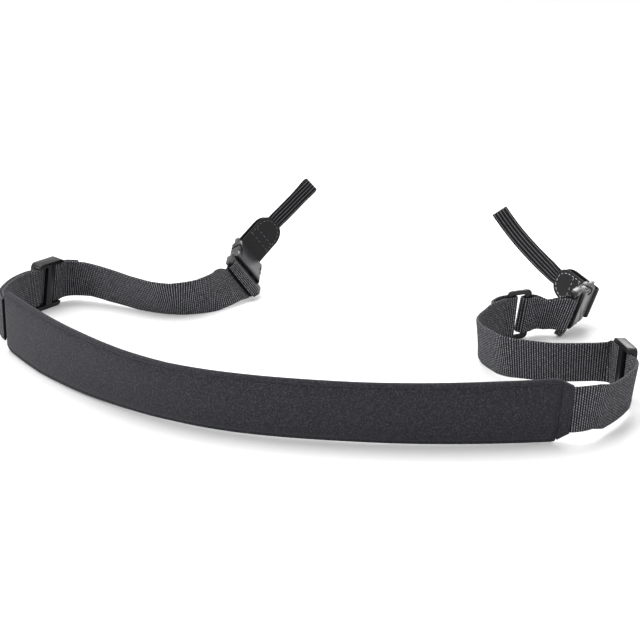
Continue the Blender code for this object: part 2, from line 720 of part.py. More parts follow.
def left_arm(pad_end, nylon, plastic, leather):
    """Webbing and its returning tail round the turn, slider, long reach, buckle."""
    start = moved(pad_end, along=SEAT).point
    turn = laid_span(start, LEFT_TURN_ROWS, LEFT_TURN, *WEBBING_SIZE)
    run_through = SLIDER_LENGTH + 2 * SLIDER_RUN
    through = straight_on(turn[-1], run_through)
    reach = laid_span(through[-1].point, LEFT_REACH_ROWS, LEFT_REACH, *WEBBING_SIZE)
    buckle = buckle_frame(reach[-1].point, LEFT_BUCKLE)
    reach = meeting(reach, buckle.across, LEFT_REACH * 0.25)
    slider_at = LEFT_TURN + run_through / 2
    aside = -(WEBBING_THICKNESS + LAYER_GAP)
    main = woven(turn[:-1] + through[:-1] + reach, slider_at)
    returned = reach[-1 - math.ceil(LEFT_FOLD_BACK / STEP):]
    before = leg(returned, WEBBING_HALF + LAYER_GAP, BAR_WRAP, LEFT_FOLD_BACK)
    main = leg(main, 0, -BAR_WRAP, FOLD_BACK)[:-1] + fold_under(reach[-1], BAR_WRAP)
    main += [turned_back(spot) for spot in reversed(before[:-1])]
    band("left_webbing", main, [WEBBING_SECTION] * len(main), nylon)
    past = math.ceil(TAIL_PAST_SLIDER / STEP)
    tail = woven(turn[:-1] + through[:-1] + reach[:past], slider_at, 1, aside)
    band("left_tail_webbing", tail, [WEBBING_SECTION] * len(tail), nylon)
    woven_slider("left_slider", moved(turn[-1], along=run_through / 2), plastic, 2)
    lug_rows = (LEFT_LUG_ROWS, LEFT_LUG_STRAP)
    finish_arm("left", buckle, LEFT_TAB, 0, *lug_rows, plastic, leather, nylon)


def buckle_frame(bar, turn):
    return frame_of(bar, turn.heading, turn.pitch, turn.lean)


def straight_on(frame, length):
    """Frames straight on from a frame."""
    count = math.ceil(length / (STEP / 2))
    return [moved(frame, along=length * step / count) for step in range(count + 1)]


def skewed(frames, held):
    """The frames with their upper edge drawn forward at the start, over the bar and a little on."""
    drawn = []
    for frame, s in zip(frames, lengths_along(frames)):
        skew = LINK_SKEW * ease(1 - (s - held) / RIGHT_LINK)
        drawn.append(frame._replace(across=(frame.across + frame.along * skew).normalized()))
    return drawn


def doubled_ring(frames, near, start_wrap, end_wrap, blend, held):
    """A closed loop of band round a bar at each end, its first stretch held apart by the bar."""
    run = lengths_along(frames)
    sides = []
    for sign in (1, -1):
        side = []
        for spot, s in zip(frames, run):
            out = near + (start_wrap - near) * ease(1 - (s - held) / blend)
            out += (end_wrap - near) * ease(1 - (run[-1] - s) / blend)
            side.append(moved(spot, face=sign * out))
        sides.append(side)
    upper, lower = sides
    end = fold(frames[-1], end_wrap)
    start = fold(turned_back(frames[0]), start_wrap)
    return upper[1:-1] + end + [turned_back(spot) for spot in reversed(lower[1:-1])] + start


def finish_arm(side, frame, tab, slack, lug_rows, lug_length, plastic, leather, nylon):
    """Buckle, leather tab and lug strap from the middle of the plug's webbing bar."""
    buckle_plug(f"{side}_buckle_plug", frame, plastic)
    buckle_socket(f"{side}_buckle_socket", frame, plastic)
    socket_bar = moved(frame, along=BUCKLE_REACH).point
    tab_frame = pivoted(frame_of(socket_bar, tab.heading, tab.pitch, tab.lean), frame.across)
    leather_tab(f"{side}_leather_tab", tab_frame, leather, slack)
    inside = LEATHER_LENGTH / 2
    held = straight_on(moved(tab_frame, along=inside), LEATHER_LENGTH - slack - inside)
    free = hung_span(held[-1].point, lug_rows, lug_length)
    strap = leaving(held, free, LEATHER_LENGTH / 3)
    lug_strap(f"{side}_lug_strap", strap, nylon)


def leaving(held, free, blend):
    """A held stretch and a free one joined, the free one easing out of the held direction."""
    start = held[-1]
    run = lengths_along(free)
    eased = []
    for frame, s in zip(free, run):
        part = ease(s / blend)
        straight = start.point + start.along * s
        point = straight * (1 - part) + frame.point * part
        along = (start.along * (1 - part) + frame.along * part).normalized()
        across = start.across * (1 - part) + frame.across * part
        eased.append(pivoted_along(point, along, across))
    return held[:-1] + eased


def pivoted_along(point, along, across):
    across = (across - along * across.dot(along)).normalized()
    return Frame(point, along, across, along.cross(across))


def stand_at_origin():
    """Moves everything so that the whole strap stands on the floor over the origin."""
    bpy.context.view_layer.update()
    graph = bpy.context.evaluated_depsgraph_get()
    corners = []
    for made in bpy.context.scene.objects:
        if made.type == "MESH" and not made.hide_render:
            evaluated = made.evaluated_get(graph)
            corners += [made.matrix_world @ vertex.co for vertex in evaluated.data.vertices]
    low = Vector(min(corner[axis] for corner in corners) for axis in range(3))
    high = Vector(max(corner[axis] for corner in corners) for axis in range(3))
    middle = (low + high) / 2
    for made in bpy.context.scene.objects:
        made.matrix_world = Matrix.Translation((-middle.x, -middle.y, -low.z)) @ made.matrix_world


clear_scene()
build()
stand_at_origin()
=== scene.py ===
"""Camera neck strap: foam pad, ribbed webbing, sliders, side-release buckles, stitched
leather tabs and ribbed lug straps, standing on its lower edges on a pale floor.
"""

import math
from collections import namedtuple

import bmesh
import bpy
import numpy as np
from mathutils import Matrix, Vector


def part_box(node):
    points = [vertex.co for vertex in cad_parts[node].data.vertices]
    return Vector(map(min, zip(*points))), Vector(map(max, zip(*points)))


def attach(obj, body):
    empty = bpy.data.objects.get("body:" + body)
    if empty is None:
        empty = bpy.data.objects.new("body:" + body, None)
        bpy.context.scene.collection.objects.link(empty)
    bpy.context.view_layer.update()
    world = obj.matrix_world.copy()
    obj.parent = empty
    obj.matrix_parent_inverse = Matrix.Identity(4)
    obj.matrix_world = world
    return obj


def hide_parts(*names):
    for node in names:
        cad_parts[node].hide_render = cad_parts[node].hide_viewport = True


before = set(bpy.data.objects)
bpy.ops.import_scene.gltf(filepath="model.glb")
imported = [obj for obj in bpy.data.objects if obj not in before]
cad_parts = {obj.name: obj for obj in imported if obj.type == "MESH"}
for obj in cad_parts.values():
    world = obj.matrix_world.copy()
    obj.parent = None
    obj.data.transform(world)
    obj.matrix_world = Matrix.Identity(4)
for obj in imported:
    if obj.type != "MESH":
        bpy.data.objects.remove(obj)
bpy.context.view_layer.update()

MM = 0.001

# The strap's sizes, the same as in the part's source
PAD_LENGTH = 368 * MM
PAD_WIDTH = 36.5 * MM
PAD_THICKNESS = 6.4 * MM
PAD_CORNER = 9 * MM
PAD_END_CORNER = 3 * MM
PAD_END_WIDTH = 34 * MM
TAB_LENGTH = 6 * MM
TAB_WIDTH = 27.5 * MM
WEBBING_WIDTH = 25.4 * MM
WEBBING_THICKNESS = 1.6 * MM
LEFT_TURN = 75 * MM
LEFT_REACH = 145 * MM
TAIL_PAST_SLIDER = 12 * MM
RIGHT_FRONT = 70.5 * MM
RIGHT_BACK = 139.6 * MM
RIGHT_LINK = 21.6 * MM
LINK_WIDTH = 22 * MM
LINK_SLACK = 0.8 * MM
LINK_SKEW = 0.087
FOLD_BACK = 12 * MM
LEFT_FOLD_BACK = 6.5 * MM
SLIDER_LENGTH = 23 * MM
SLIDER_RUN = 1.5 * MM
SLIDER_BAR = 2.6 * MM
SLIDER_END_BAR = 3 * MM
SLIDER_CENTRE_BAR = 5.6 * MM
SLIDER_RAIL = 2.7 * MM
SLIDER_CORNER = 4 * MM
RING_LENGTH = 16.5 * MM
RING_BAR = 4.2 * MM
RING_THICKNESS = 2.2 * MM
BUCKLE_REACH = 32.6 * MM
BUCKLE_WIDTH = 31 * MM
SOCKET_WIDTH = 26 * MM
BUCKLE_THICKNESS = 8.4 * MM
WINDOW_DEPTH = 3.4 * MM
BUCKLE_WALL = 1.7 * MM
BUCKLE_BAR = 2.4 * MM
BUCKLE_ARM = 2.2 * MM
SOCKET_LENGTH = 19 * MM
LEATHER_WIDTH = 20 * MM
LEATHER_THICKNESS = 1.1 * MM
LEATHER_LENGTH = 28 * MM
LEATHER_TIP = 6 * MM
LEATHER_ROOM = 1.4 * MM
RIGHT_LEATHER_SLACK = 3 * MM
LUG_STRAP_WIDTH = 10.5 * MM
LUG_STRAP_THICKNESS = 1.1 * MM
LEFT_LUG_STRAP = 36 * MM
RIGHT_LUG_STRAP = 60 * MM
RING_ROOM = 3 * MM
SEAT = 0.3 * MM
PLAY = 0.4 * MM
LAYER_GAP = 0.4 * MM

# Fineness of the routes, laid out in the same steps as the solids and then made finer
STEP = 3.4 * MM
PAD_STEP = 6.5 * MM
LUG_STEP = 5 * MM
FINER = 4
FOLD_STEPS = 18
RIB_PITCH = 1.35 * MM
RIB_DEPTH = 0.18 * MM
RINGS_PER_RIB = 4
RIB_FULLNESS = 0.7
LUG_RIBS = 5
LUG_RIB_DEPTH = 0.32 * MM
LUG_EDGE_SHARE = 0.3
COLUMNS_PER_RIB = 8
YARN_PITCH = 0.9

# The looks of small parts
SLOT_CORNER = 0.8 * MM
WAIST_INSET = 0.6 * MM
ENVELOPE_CORNER = 3.4 * MM
STITCH_PITCH = 2.9 * MM
STITCH_LENGTH = 1.9 * MM
STITCH_THREAD = 0.42 * MM
STITCH_RISE = 0.05 * MM
STITCH_INSET = 1.7 * MM
STITCH_ROW_INSET = 3 * MM
STITCH_ROWS = (13 * MM, 18 * MM)
STITCH_STATIONS = [left * MM for left in (
    18, 15.5, 13, 10.5, 8.5, 7, 5.8, 4.8, 4, 3.3, 2.7, 2.2, 1.9, 1.7
)]
FLOOR_REACH = 6.0

WEBBING_HALF = WEBBING_THICKNESS / 2
SLIDER_HEIGHT = WEBBING_WIDTH + 2 * (PLAY + SLIDER_RAIL)
SLIDER_WEAVE = 1 * MM
PAD_END_LIFT = (PAD_WIDTH - WEBBING_WIDTH) / 2
SLIDER_LIFT = (SLIDER_HEIGHT - WEBBING_WIDTH) / 2 + SEAT
BAR_CORNER = BUCKLE_BAR / math.sqrt(2)
BAR_WRAP = BAR_CORNER + SEAT + WEBBING_HALF
SLIDER_WRAP = SLIDER_BAR / 2 + SEAT + WEBBING_HALF
RING_FOLD_SET = RING_BAR - SLIDER_BAR / 4
BAR_CLEAR = BAR_WRAP + WEBBING_HALF
BASE_START = BAR_CLEAR + PLAY
BAR_APPROACH = 14 * MM
SOCKET_BAR_CLEAR = BAR_CORNER + SEAT + LEATHER_THICKNESS + PLAY + LEATHER_ROOM
SOCKET_END = BUCKLE_REACH - SOCKET_BAR_CLEAR
SOCKET_START = SOCKET_END - SOCKET_LENGTH
LEATHER_HALF = LEATHER_THICKNESS / 2
LEATHER_WRAP = BAR_CORNER + SEAT + LEATHER_HALF
LUG_LAYER = LUG_STRAP_THICKNESS / 2 + LAYER_GAP / 2
LEATHER_LEAF = 2 * LUG_LAYER + SEAT + LEATHER_HALF

PAD_START = Vector((-183 * MM, 897 * MM, 0))
PAD_HEADING = -62
WEBBING_SIZE = (WEBBING_WIDTH, WEBBING_THICKNESS)

# The photograph's viewpoint, over the point from which the strap's plan is laid out
EYE_HEIGHT = 292 * MM
LOOK_DOWN = 17
LENS = 90

Place = namedtuple("Place", "point along across face")
Lay = namedtuple("Lay", "share heading lean lift")
Hang = namedtuple("Hang", "share heading pitch lean")
Edge = namedtuple("Edge", "inset share relief")

# Each row: share of the span, turn from the pad's heading, lean to the right, lift of the lower edge
PAD_ROWS = (
    Lay(0.00, 0, 0, 0),
    Lay(0.14, 6, 0, 0),
    Lay(0.27, 13, 6, 0),
    Lay(0.37, 20, 13, 0),
    Lay(0.46, 30, 17, 0),
    Lay(0.55, 42, 17, 0),
    Lay(0.63, 49.5, 17.5, 0),
    Lay(0.73, 54.5, 18, 0),
    Lay(0.83, 62, 16.5, 0),
    Lay(0.92, 67, 14.5, 0),
    Lay(1.00, 71, 13, 0),
)
LEFT_TURN_ROWS = (
    Lay(0.00, 180, 0, PAD_END_LIFT),
    Lay(0.20, 165.5, 2, PAD_END_LIFT),
    Lay(0.42, 153, 2, SLIDER_LIFT),
    Lay(0.70, 141, 4, SLIDER_LIFT),
    Lay(0.90, 127, 8, SLIDER_LIFT),
    Lay(1.00, 120, 9, SLIDER_LIFT),
)
LEFT_REACH_ROWS = (
    Lay(0.00, 120, 10, SLIDER_LIFT),
    Lay(0.05, 64, 14.5, SLIDER_LIFT),
    Lay(0.13, 42, 16.5, SLIDER_LIFT),
    Lay(0.22, 31, 15, SLIDER_LIFT / 2),
    Lay(0.38, 25, 19, 0),
    Lay(0.50, 32.5, 24.5, 0),
    Lay(0.58, 56, 26, 0),
    Lay(0.68, 91.5, 18, 0),
    Lay(0.80, 117, -3, 0),
    Lay(0.92, 118, -23.5, SLIDER_LIFT / 2),
    Lay(1.00, 123, -33, SLIDER_LIFT),
)
RIGHT_FRONT_ROWS = (
    Lay(0.00, 71, 8, PAD_END_LIFT),
    Lay(0.10, 82, 8, PAD_END_LIFT),
    Lay(0.20, 97, 11, PAD_END_LIFT),
    Lay(0.33, 114, 11, SLIDER_LIFT),
    Lay(0.50, 117, 10.5, SLIDER_LIFT),
    Lay(0.75, 126, 10, SLIDER_LIFT),
    Lay(0.90, 142, 7, SLIDER_LIFT),
    Lay(1.00, 161, 4, SLIDER_LIFT),
)
RIGHT_BACK_ROWS = (
    Lay(0.00, 161, 2, SLIDER_LIFT),
    Lay(0.04, 244, -14, SLIDER_LIFT),
    Lay(0.08, 236, -17.5, SLIDER_LIFT),
    Lay(0.25, 226, -17, SLIDER_LIFT / 2),
    Lay(0.40, 220.5, -15, SLIDER_LIFT / 2),
    Lay(0.45, 195, -12, SLIDER_LIFT / 2),
    Lay(0.50, 176, -9, SLIDER_LIFT / 2),
    Lay(0.58, 172, -9, SLIDER_LIFT / 2),
    Lay(0.68, 150.5, -6, SLIDER_LIFT / 2),
    Lay(0.74, 138.5, 0, SLIDER_LIFT / 2),
    Lay(0.80, 124.5, 2.5, SLIDER_LIFT / 2),
    Lay(0.87, 122.5, 5, SLIDER_LIFT),
    Lay(0.95, 121.5, 5, SLIDER_LIFT),
    Lay(1.00, 88, 8, SLIDER_LIFT),
)
RIGHT_LINK_ROWS = (
    Lay(0.00, 88, 8, SLIDER_LIFT),
    Lay(0.40, 52, 32, SLIDER_LIFT),
    Lay(0.70, 50, 34, SLIDER_LIFT),
    Lay(1.00, 64, 26, 1.2 * SLIDER_LIFT),
)

# Each row: share of the span, heading from +X, pitch above the floor and lean, in degrees
LEFT_BUCKLE = Hang(0, 86, 17, -34)
LEFT_TAB = Hang(0, 40.5, 29, -25)
RIGHT_BUCKLE = Hang(0, 61, 1.5, 20)
RIGHT_TAB = Hang(0, 127, 18, 6)
LEFT_LUG_ROWS = (
    Hang(0.00, 40, 33, -22),
    Hang(0.40, 34, 37, -14),
    Hang(1.00, 29, 41, -10),
)
RIGHT_LUG_ROWS = (
    Hang(0.00, 125, 22, 12),
    Hang(0.45, 131.5, 32, 34),
    Hang(1.00, 137, 46, 38),
)

# Each row: millimetres in from a webbing's edge, share of its half thickness, share of the ribs' depth
SELVEDGE = (
    Edge(0, 0.3, 0.0),
    Edge(0.12, 0.62, 0.2),
    Edge(0.4, 0.8, 0.6),
    Edge(0.9, 0.82, 0.9),
    Edge(1.4, 0.82, 1.0),
    Edge(1.9, 0.83, 1.0),
    Edge(4.5, 0.83, 1.0),
    Edge(8.5, 0.83, 1.0),
)


# Routes


def ease(x):
    """Smooth step from 0 to 1."""
    x = min(max(x, 0), 1)
    return x * x * (3 - 2 * x)


def value_at(rows, share, column):
    """A column of a table at a share of its span, straight between the rows."""
    for low, high in zip(rows, rows[1:]):
        if share <= high.share:
            part = (share - low.share) / (high.share - low.share)
            return getattr(low, column) * (1 - part) + getattr(high, column) * part
    return getattr(rows[-1], column)


def place_of(point, heading, pitch, lean):
    """A band's place: along it, across it to the upper edge, and out of its right-hand face."""
    h, p, tilt = (math.radians(angle) for angle in (heading, pitch, lean))
    along = Vector((math.cos(p) * math.cos(h), math.cos(p) * math.sin(h), math.sin(p)))
    up = Vector((-math.sin(p) * math.cos(h), -math.sin(p) * math.sin(h), math.cos(p)))
    side = along.cross(up)
    across = up * math.cos(tilt) + side * math.sin(tilt)
    return Place(Vector(point), along, across, along.cross(across))


def curved(low, high, along_low, along_high, part):
    """A point on the smooth curve between two points that leaves and meets them along two directions."""
    reach = (high - low).length
    square, cube = part * part, part**3
    spot = low * (2 * cube - 3 * square + 1) + high * (3 * square - 2 * cube)
    return spot + (along_low * (cube - 2 * square + part) + along_high * (cube - square)) * reach


def laid_span(start, rows, length, width, thickness, step=STEP):
    """Places along a band that stands on its lower edge, from a plan point."""
    count = max(2, math.ceil(length / step))
    spots = [Vector((start.x, start.y))]
    for index in range(count):
        turn = math.radians(PAD_HEADING + value_at(rows, (index + 0.5) / count, "heading"))
        spots.append(spots[-1] + Vector((math.cos(turn), math.sin(turn))) * length / count)
    places = []
    for index in range(count * FINER + 1):
        share = index / (count * FINER)
        heading = PAD_HEADING + value_at(rows, share, "heading")
        lean = value_at(rows, share, "lean")
        tilt = math.radians(lean)
        half_height = width / 2 * math.cos(tilt) + thickness / 2 * abs(math.sin(tilt))
        z = value_at(rows, share, "lift") + half_height
        before = min(index // FINER, count - 1)
        ends = [
            math.radians(PAD_HEADING + value_at(rows, (before + side) / count, "heading"))
            for side in (0, 1)
        ]
        ways = [Vector((math.cos(turn), math.sin(turn))) for turn in ends]
        part = index / FINER - before
        spot = curved(spots[before], spots[before + 1], *ways, part)
        places.append(place_of((spot.x, spot.y, z), heading, 0, lean))
    return places


def hung_span(start, rows, length):
    """Places along a band that rises clear of the floor."""
    count = max(2, math.ceil(length / LUG_STEP))
    point = Vector(start)
    coarse = []
    for index in range(count + 1):
        angles = [value_at(rows, index / count, name) for name in ("heading", "pitch", "lean")]
        coarse.append(place_of(point, *angles))
        point = point + coarse[-1].along * length / count
    places = [coarse[0]]
    for low, high in zip(coarse, coarse[1:]):
        for step in range(1, FINER + 1):
            part = step / FINER
            spot = curved(low.point, high.point, low.along, high.along, part)
            along = low.along.lerp(high.along, part).normalized()
            across = low.across.lerp(high.across, part)
            across = (across - along * across.dot(along)).normalized()
            places.append(Place(spot, along, across, along.cross(across)))
    return places


def moved(place, along=0.0, across=0.0, face=0.0):
    """The place carried some way along, across and out of the band."""
    point = place.point + place.along * along + place.across * across + place.face * face
    return place._replace(point=point)


def pivoted(place, across):
    """The place turned the least that brings its across onto a bar's direction."""
    along = (place.along - across * place.along.dot(across)).normalized()
    return Place(place.point, along, across, along.cross(across))


def lengths_along(places):
    """Distance of each place from the first."""
    found = [0.0]
    for one, other in zip(places, places[1:]):
        found.append(found[-1] + (other.point - one.point).length)
    return found


def meeting(places, across, blend):
    """The places twisted and slid over the last stretch so that the band meets a bar squarely."""
    run = lengths_along(places)
    met = []
    for place, s in zip(places, run):
        part = ease(1 - (run[-1] - s) / blend)
        mixed = (place.across * (1 - part) + across * part).normalized()
        near = ease(1 - (run[-1] - s) / BAR_APPROACH)
        aside = (place.point - places[-1].point).dot(across) * near
        met.append(pivoted(place._replace(point=place.point - across * aside), mixed))
    return met


def turned_back(place):
    """The same spot, facing the other way."""
    return place._replace(along=-place.along, face=-place.face)


def fold(place, radius):
    """Places half round a bar at the end of a doubled band."""
    turned = []
    for step in range(FOLD_STEPS + 1):
        turn = math.pi * step / FOLD_STEPS
        out = place.along * math.sin(turn) + place.face * math.cos(turn)
        on = place.along * math.cos(turn) - place.face * math.sin(turn)
        turned.append(Place(place.point + out * radius, on, place.across, out))
    return turned


def fold_under(place, radius):
    """The same, starting behind the bar and ending in front of it."""
    turned = []
    for step in range(FOLD_STEPS + 1):
        turn = math.pi * step / FOLD_STEPS
        out = place.along * math.sin(turn) - place.face * math.cos(turn)
        on = place.along * math.cos(turn) + place.face * math.sin(turn)
        turned.append(Place(place.point + out * radius, on, place.across, -out))
    return turned


def leg(places, near, at_fold, blend, straight=0.0):
    """Places offset to near, out to at_fold over a stretch, then straight on to the fold."""
    run = lengths_along(places)
    return [
        moved(place, face=near + (at_fold - near) * ease(1 - (run[-1] - straight - s) / blend))
        for place, s in zip(places, run)
    ]


def slider_weave(distance):
    """Offset of a webbing that passes behind a slider's centre bar and before its end bars."""
    slot_start = SLIDER_CENTRE_BAR / 2 + SEAT
    slot_end = SLIDER_LENGTH / 2 - SLIDER_END_BAR - SEAT
    out = ease((abs(distance) - slot_start) / (slot_end - slot_start))
    back = ease((abs(distance) - SLIDER_LENGTH / 2) / (SLIDER_LENGTH / 3))
    return SLIDER_WEAVE * (2 * out - 1) * (1 - back)


def woven(places, slider_at, side=1, aside=0.0):
    """The places carried through a slider, its centre bar on one side, at a distance along them."""
    run = lengths_along(places)
    return [
        moved(place, face=side * slider_weave(s - slider_at) + aside) for place, s in zip(places, run)
    ]


def straight_on(place, length):
    """Places straight on from a place."""
    count = math.ceil(length * FINER / STEP)
    return [moved(place, along=length * step / count) for step in range(count + 1)]


def skewed(places, held):
    """The places with their upper edge drawn forward at the start, over the bar and a little on."""
    drawn = []
    for place, s in zip(places, lengths_along(places)):
        skew = LINK_SKEW * ease(1 - (s - held) / RIGHT_LINK)
        drawn.append(place._replace(across=(place.across + place.along * skew).normalized()))
    return drawn


def doubled_ring(places, near, start_wrap, end_wrap, blend, held):
    """A closed loop of band round a bar at each end, its first stretch held apart by the bar."""
    run = lengths_along(places)
    sides = []
    for sign in (1, -1):
        side = []
        for spot, s in zip(places, run):
            out = near + (start_wrap - near) * ease(1 - (s - held) / blend)
            out += (end_wrap - near) * ease(1 - (run[-1] - s) / blend)
            side.append(moved(spot, face=sign * out))
        sides.append(side)
    upper, lower = sides
    end = fold(places[-1], end_wrap)
    start = fold(turned_back(places[0]), start_wrap)
    return upper[1:-1] + end + [turned_back(spot) for spot in reversed(lower[1:-1])] + start


def leaving(held, free, blend):
    """A held stretch and a free one joined, the free one easing out of the held direction."""
    start = held[-1]
    run = lengths_along(free)
    eased = []
    for place, s in zip(free, run):
        part = ease(s / blend)
        straight = start.point + start.along * s
        point = straight * (1 - part) + place.point * part
        along = (start.along * (1 - part) + place.along * part).normalized()
        across = start.across * (1 - part) + place.across * part
        across = (across - along * across.dot(along)).normalized()
        eased.append(Place(point, along, across, along.cross(across)))
    return held[:-1] + eased


def laid_out():
    """Every band's places, and each slider's and buckle's place, on the plan."""
    plan = {}
    plan["pad"] = pad = laid_span(
        PAD_START, PAD_ROWS, PAD_LENGTH, PAD_WIDTH, PAD_THICKNESS, PAD_STEP
    )
    plan["sleeve"] = [moved(pad[-1], along=SEAT), moved(pad[-1], along=SEAT + TAB_LENGTH)]
    run_through = SLIDER_LENGTH + 2 * SLIDER_RUN

    start = moved(plan["sleeve"][-1], along=SEAT).point
    front = laid_span(start, RIGHT_FRONT_ROWS, RIGHT_FRONT, *WEBBING_SIZE)
    through = straight_on(front[-1], run_through)
    back = laid_span(through[-1].point, RIGHT_BACK_ROWS, RIGHT_BACK, *WEBBING_SIZE)
    arm = woven(front[:-1] + through[:-1] + back, RIGHT_FRONT + run_through / 2, -1)
    ring = moved(back[-1], along=RING_LENGTH / 2)
    to_bar = straight_on(back[-1], RING_FOLD_SET)
    aside = -(WEBBING_THICKNESS + LAYER_GAP)
    returning = back[-1 - math.ceil(FOLD_BACK / STEP) * FINER:-1] + to_bar
    arm = leg(arm, 0, SLIDER_WRAP, FOLD_BACK * 2)
    arm += [moved(spot, face=SLIDER_WRAP) for spot in to_bar[1:-1]]
    behind = leg(returning, aside, -SLIDER_WRAP, FOLD_BACK * 0.8, RING_BAR)
    arm += fold(to_bar[-1], SLIDER_WRAP) + [turned_back(spot) for spot in reversed(behind[:-1])]
    plan["right_webbing"] = arm
    plan["right_outer_slider"] = turned_back(moved(front[-1], along=run_through / 2))
    plan["right_strap_ring"] = ring

    bar_at = RING_LENGTH / 2 - RING_FOLD_SET - LINK_SLACK
    over_bar = RING_LENGTH / 2 - bar_at
    first = straight_on(moved(ring, along=bar_at), over_bar + SLIDER_RUN)
    rest = laid_span(first[-1].point, RIGHT_LINK_ROWS, RIGHT_LINK, *WEBBING_SIZE)
    buckle = buckle_place(rest[-1].point, RIGHT_BUCKLE)
    link = skewed(meeting(first[:-1] + rest, buckle.across, RIGHT_LINK), over_bar)
    near = WEBBING_HALF + LAYER_GAP / 2
    plan["right_link"] = doubled_ring(link, near, SLIDER_WRAP, BAR_WRAP, RIGHT_LINK * 0.4, over_bar)
    hang_arm(plan, "right", buckle, RIGHT_TAB, RIGHT_LEATHER_SLACK, RIGHT_LUG_ROWS, RIGHT_LUG_STRAP)

    start = moved(turned_back(pad[0]), along=SEAT).point
    turn = laid_span(start, LEFT_TURN_ROWS, LEFT_TURN, *WEBBING_SIZE)
    through = straight_on(turn[-1], run_through)
    reach = laid_span(through[-1].point, LEFT_REACH_ROWS, LEFT_REACH, *WEBBING_SIZE)
    buckle = buckle_place(reach[-1].point, LEFT_BUCKLE)
    reach = meeting(reach, buckle.across, LEFT_REACH * 0.25)
    slider_at = LEFT_TURN + run_through / 2
    main = woven(turn[:-1] + through[:-1] + reach, slider_at)
    returned = reach[-1 - math.ceil(LEFT_FOLD_BACK / STEP) * FINER:]
    before = leg(returned, WEBBING_HALF + LAYER_GAP, BAR_WRAP, LEFT_FOLD_BACK)
    main = leg(main, 0, -BAR_WRAP, FOLD_BACK)[:-1] + fold_under(reach[-1], BAR_WRAP)
    plan["left_webbing"] = main + [turned_back(spot) for spot in reversed(before[:-1])]
    past = math.ceil(TAIL_PAST_SLIDER / STEP) * FINER
    plan["left_tail"] = woven(turn[:-1] + through[:-1] + reach[:past], slider_at, 1, aside)
    plan["left_slider"] = moved(turn[-1], along=run_through / 2)
    hang_arm(plan, "left", buckle, LEFT_TAB, 0, LEFT_LUG_ROWS, LEFT_LUG_STRAP)
    return plan


def buckle_place(bar, turn):
    """A buckle's place, at its webbing bar."""
    return place_of(bar, turn.heading, turn.pitch, turn.lean)


def hang_arm(plan, side, place, tab, slack, lug_rows, lug_length):
    """Adds one arm's buckle, leather tab and lug strap to the plan."""
    plan[side + "_buckle"] = place
    bar = moved(place, along=BUCKLE_REACH).point
    leather = pivoted(place_of(bar, tab.heading, tab.pitch, tab.lean), place.across)
    plan[side + "_leather"] = leather
    inside = LEATHER_LENGTH / 2
    held = straight_on(moved(leather, along=inside), LEATHER_LENGTH - slack - inside)
    free = hung_span(held[-1].point, lug_rows, lug_length)
    strap = leaving(held, free, LEATHER_LENGTH / 3)
    radius = (RING_ROOM + LUG_STRAP_THICKNESS) / 2
    blend = 12 * MM
    over = leg(strap, LUG_LAYER, radius, blend)
    under = leg(strap, -LUG_LAYER, -radius, blend)
    back = [turned_back(spot) for spot in reversed(under[:-1])]
    plan[side + "_lug_strap"] = over[:-1] + fold(strap[-1], radius) + back


def plan_shift(plan):
    """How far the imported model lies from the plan, from the flat ring's own box."""
    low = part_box("right_strap_ring")[0]
    place = plan["right_strap_ring"]
    length, height = RING_LENGTH / 2, SLIDER_HEIGHT / 2
    rise = SLIDER_CORNER * 0.75
    corners = [
        moved(place, along=sign * along, across=side * across, face=out * RING_THICKNESS / 2).point
        for along, across in ((length, height - rise), (length - SLIDER_CORNER, height))
        for sign in (1, -1) for side in (1, -1) for out in (1, -1)
    ]
    return low - Vector(min(corner[axis] for corner in corners) for axis in range(3))


def shifted(plan, shift):
    """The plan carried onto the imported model."""
    carried = {}
    for name, places in plan.items():
        if isinstance(places, Place):
            carried[name] = places._replace(point=places.point + shift)
        else:
            carried[name] = [spot._replace(point=spot.point + shift) for spot in places]
    return carried


rough_plan = laid_out()
shift = plan_shift(rough_plan)
plan = shifted(rough_plan, shift)


# Shader expressions


class Value:
    """A shader value that Python's operators combine into Math nodes."""

    def __init__(self, tree, socket):
        self.tree = tree
        self.socket = socket

    def math(self, operation, *others):
        """A Math node on this value and others."""
        node = self.tree.add("ShaderNodeMath", {"operation": operation})
        for index, item in enumerate((self, *others)):
            self.tree.feed(node.inputs[index], item)
        return Value(self.tree, node.outputs[0])

    def __add__(self, other):
        return self.math("ADD", other)

    __radd__ = __add__

    def __mul__(self, other):
        return self.math("MULTIPLY", other)

    __rmul__ = __mul__

    def __truediv__(self, other):
        return self.math("DIVIDE", other)

    def __pow__(self, other):
        return self.math("POWER", other)

    def sin(self):
        return self.math("SINE")

    def abs(self):
        return self.math("ABSOLUTE")

    def floor(self):
        return self.math("FLOOR")

    def between(self, low, high):
        """0 below low, 1 above high, and smooth between them."""
        node = self.tree.add("ShaderNodeMapRange", {"interpolation_type": "SMOOTHSTEP"})
        self.tree.feed(node.inputs["Value"], self)
        node.inputs["From Min"].default_value = low
        node.inputs["From Max"].default_value = high
        return Value(self.tree, node.outputs["Result"])


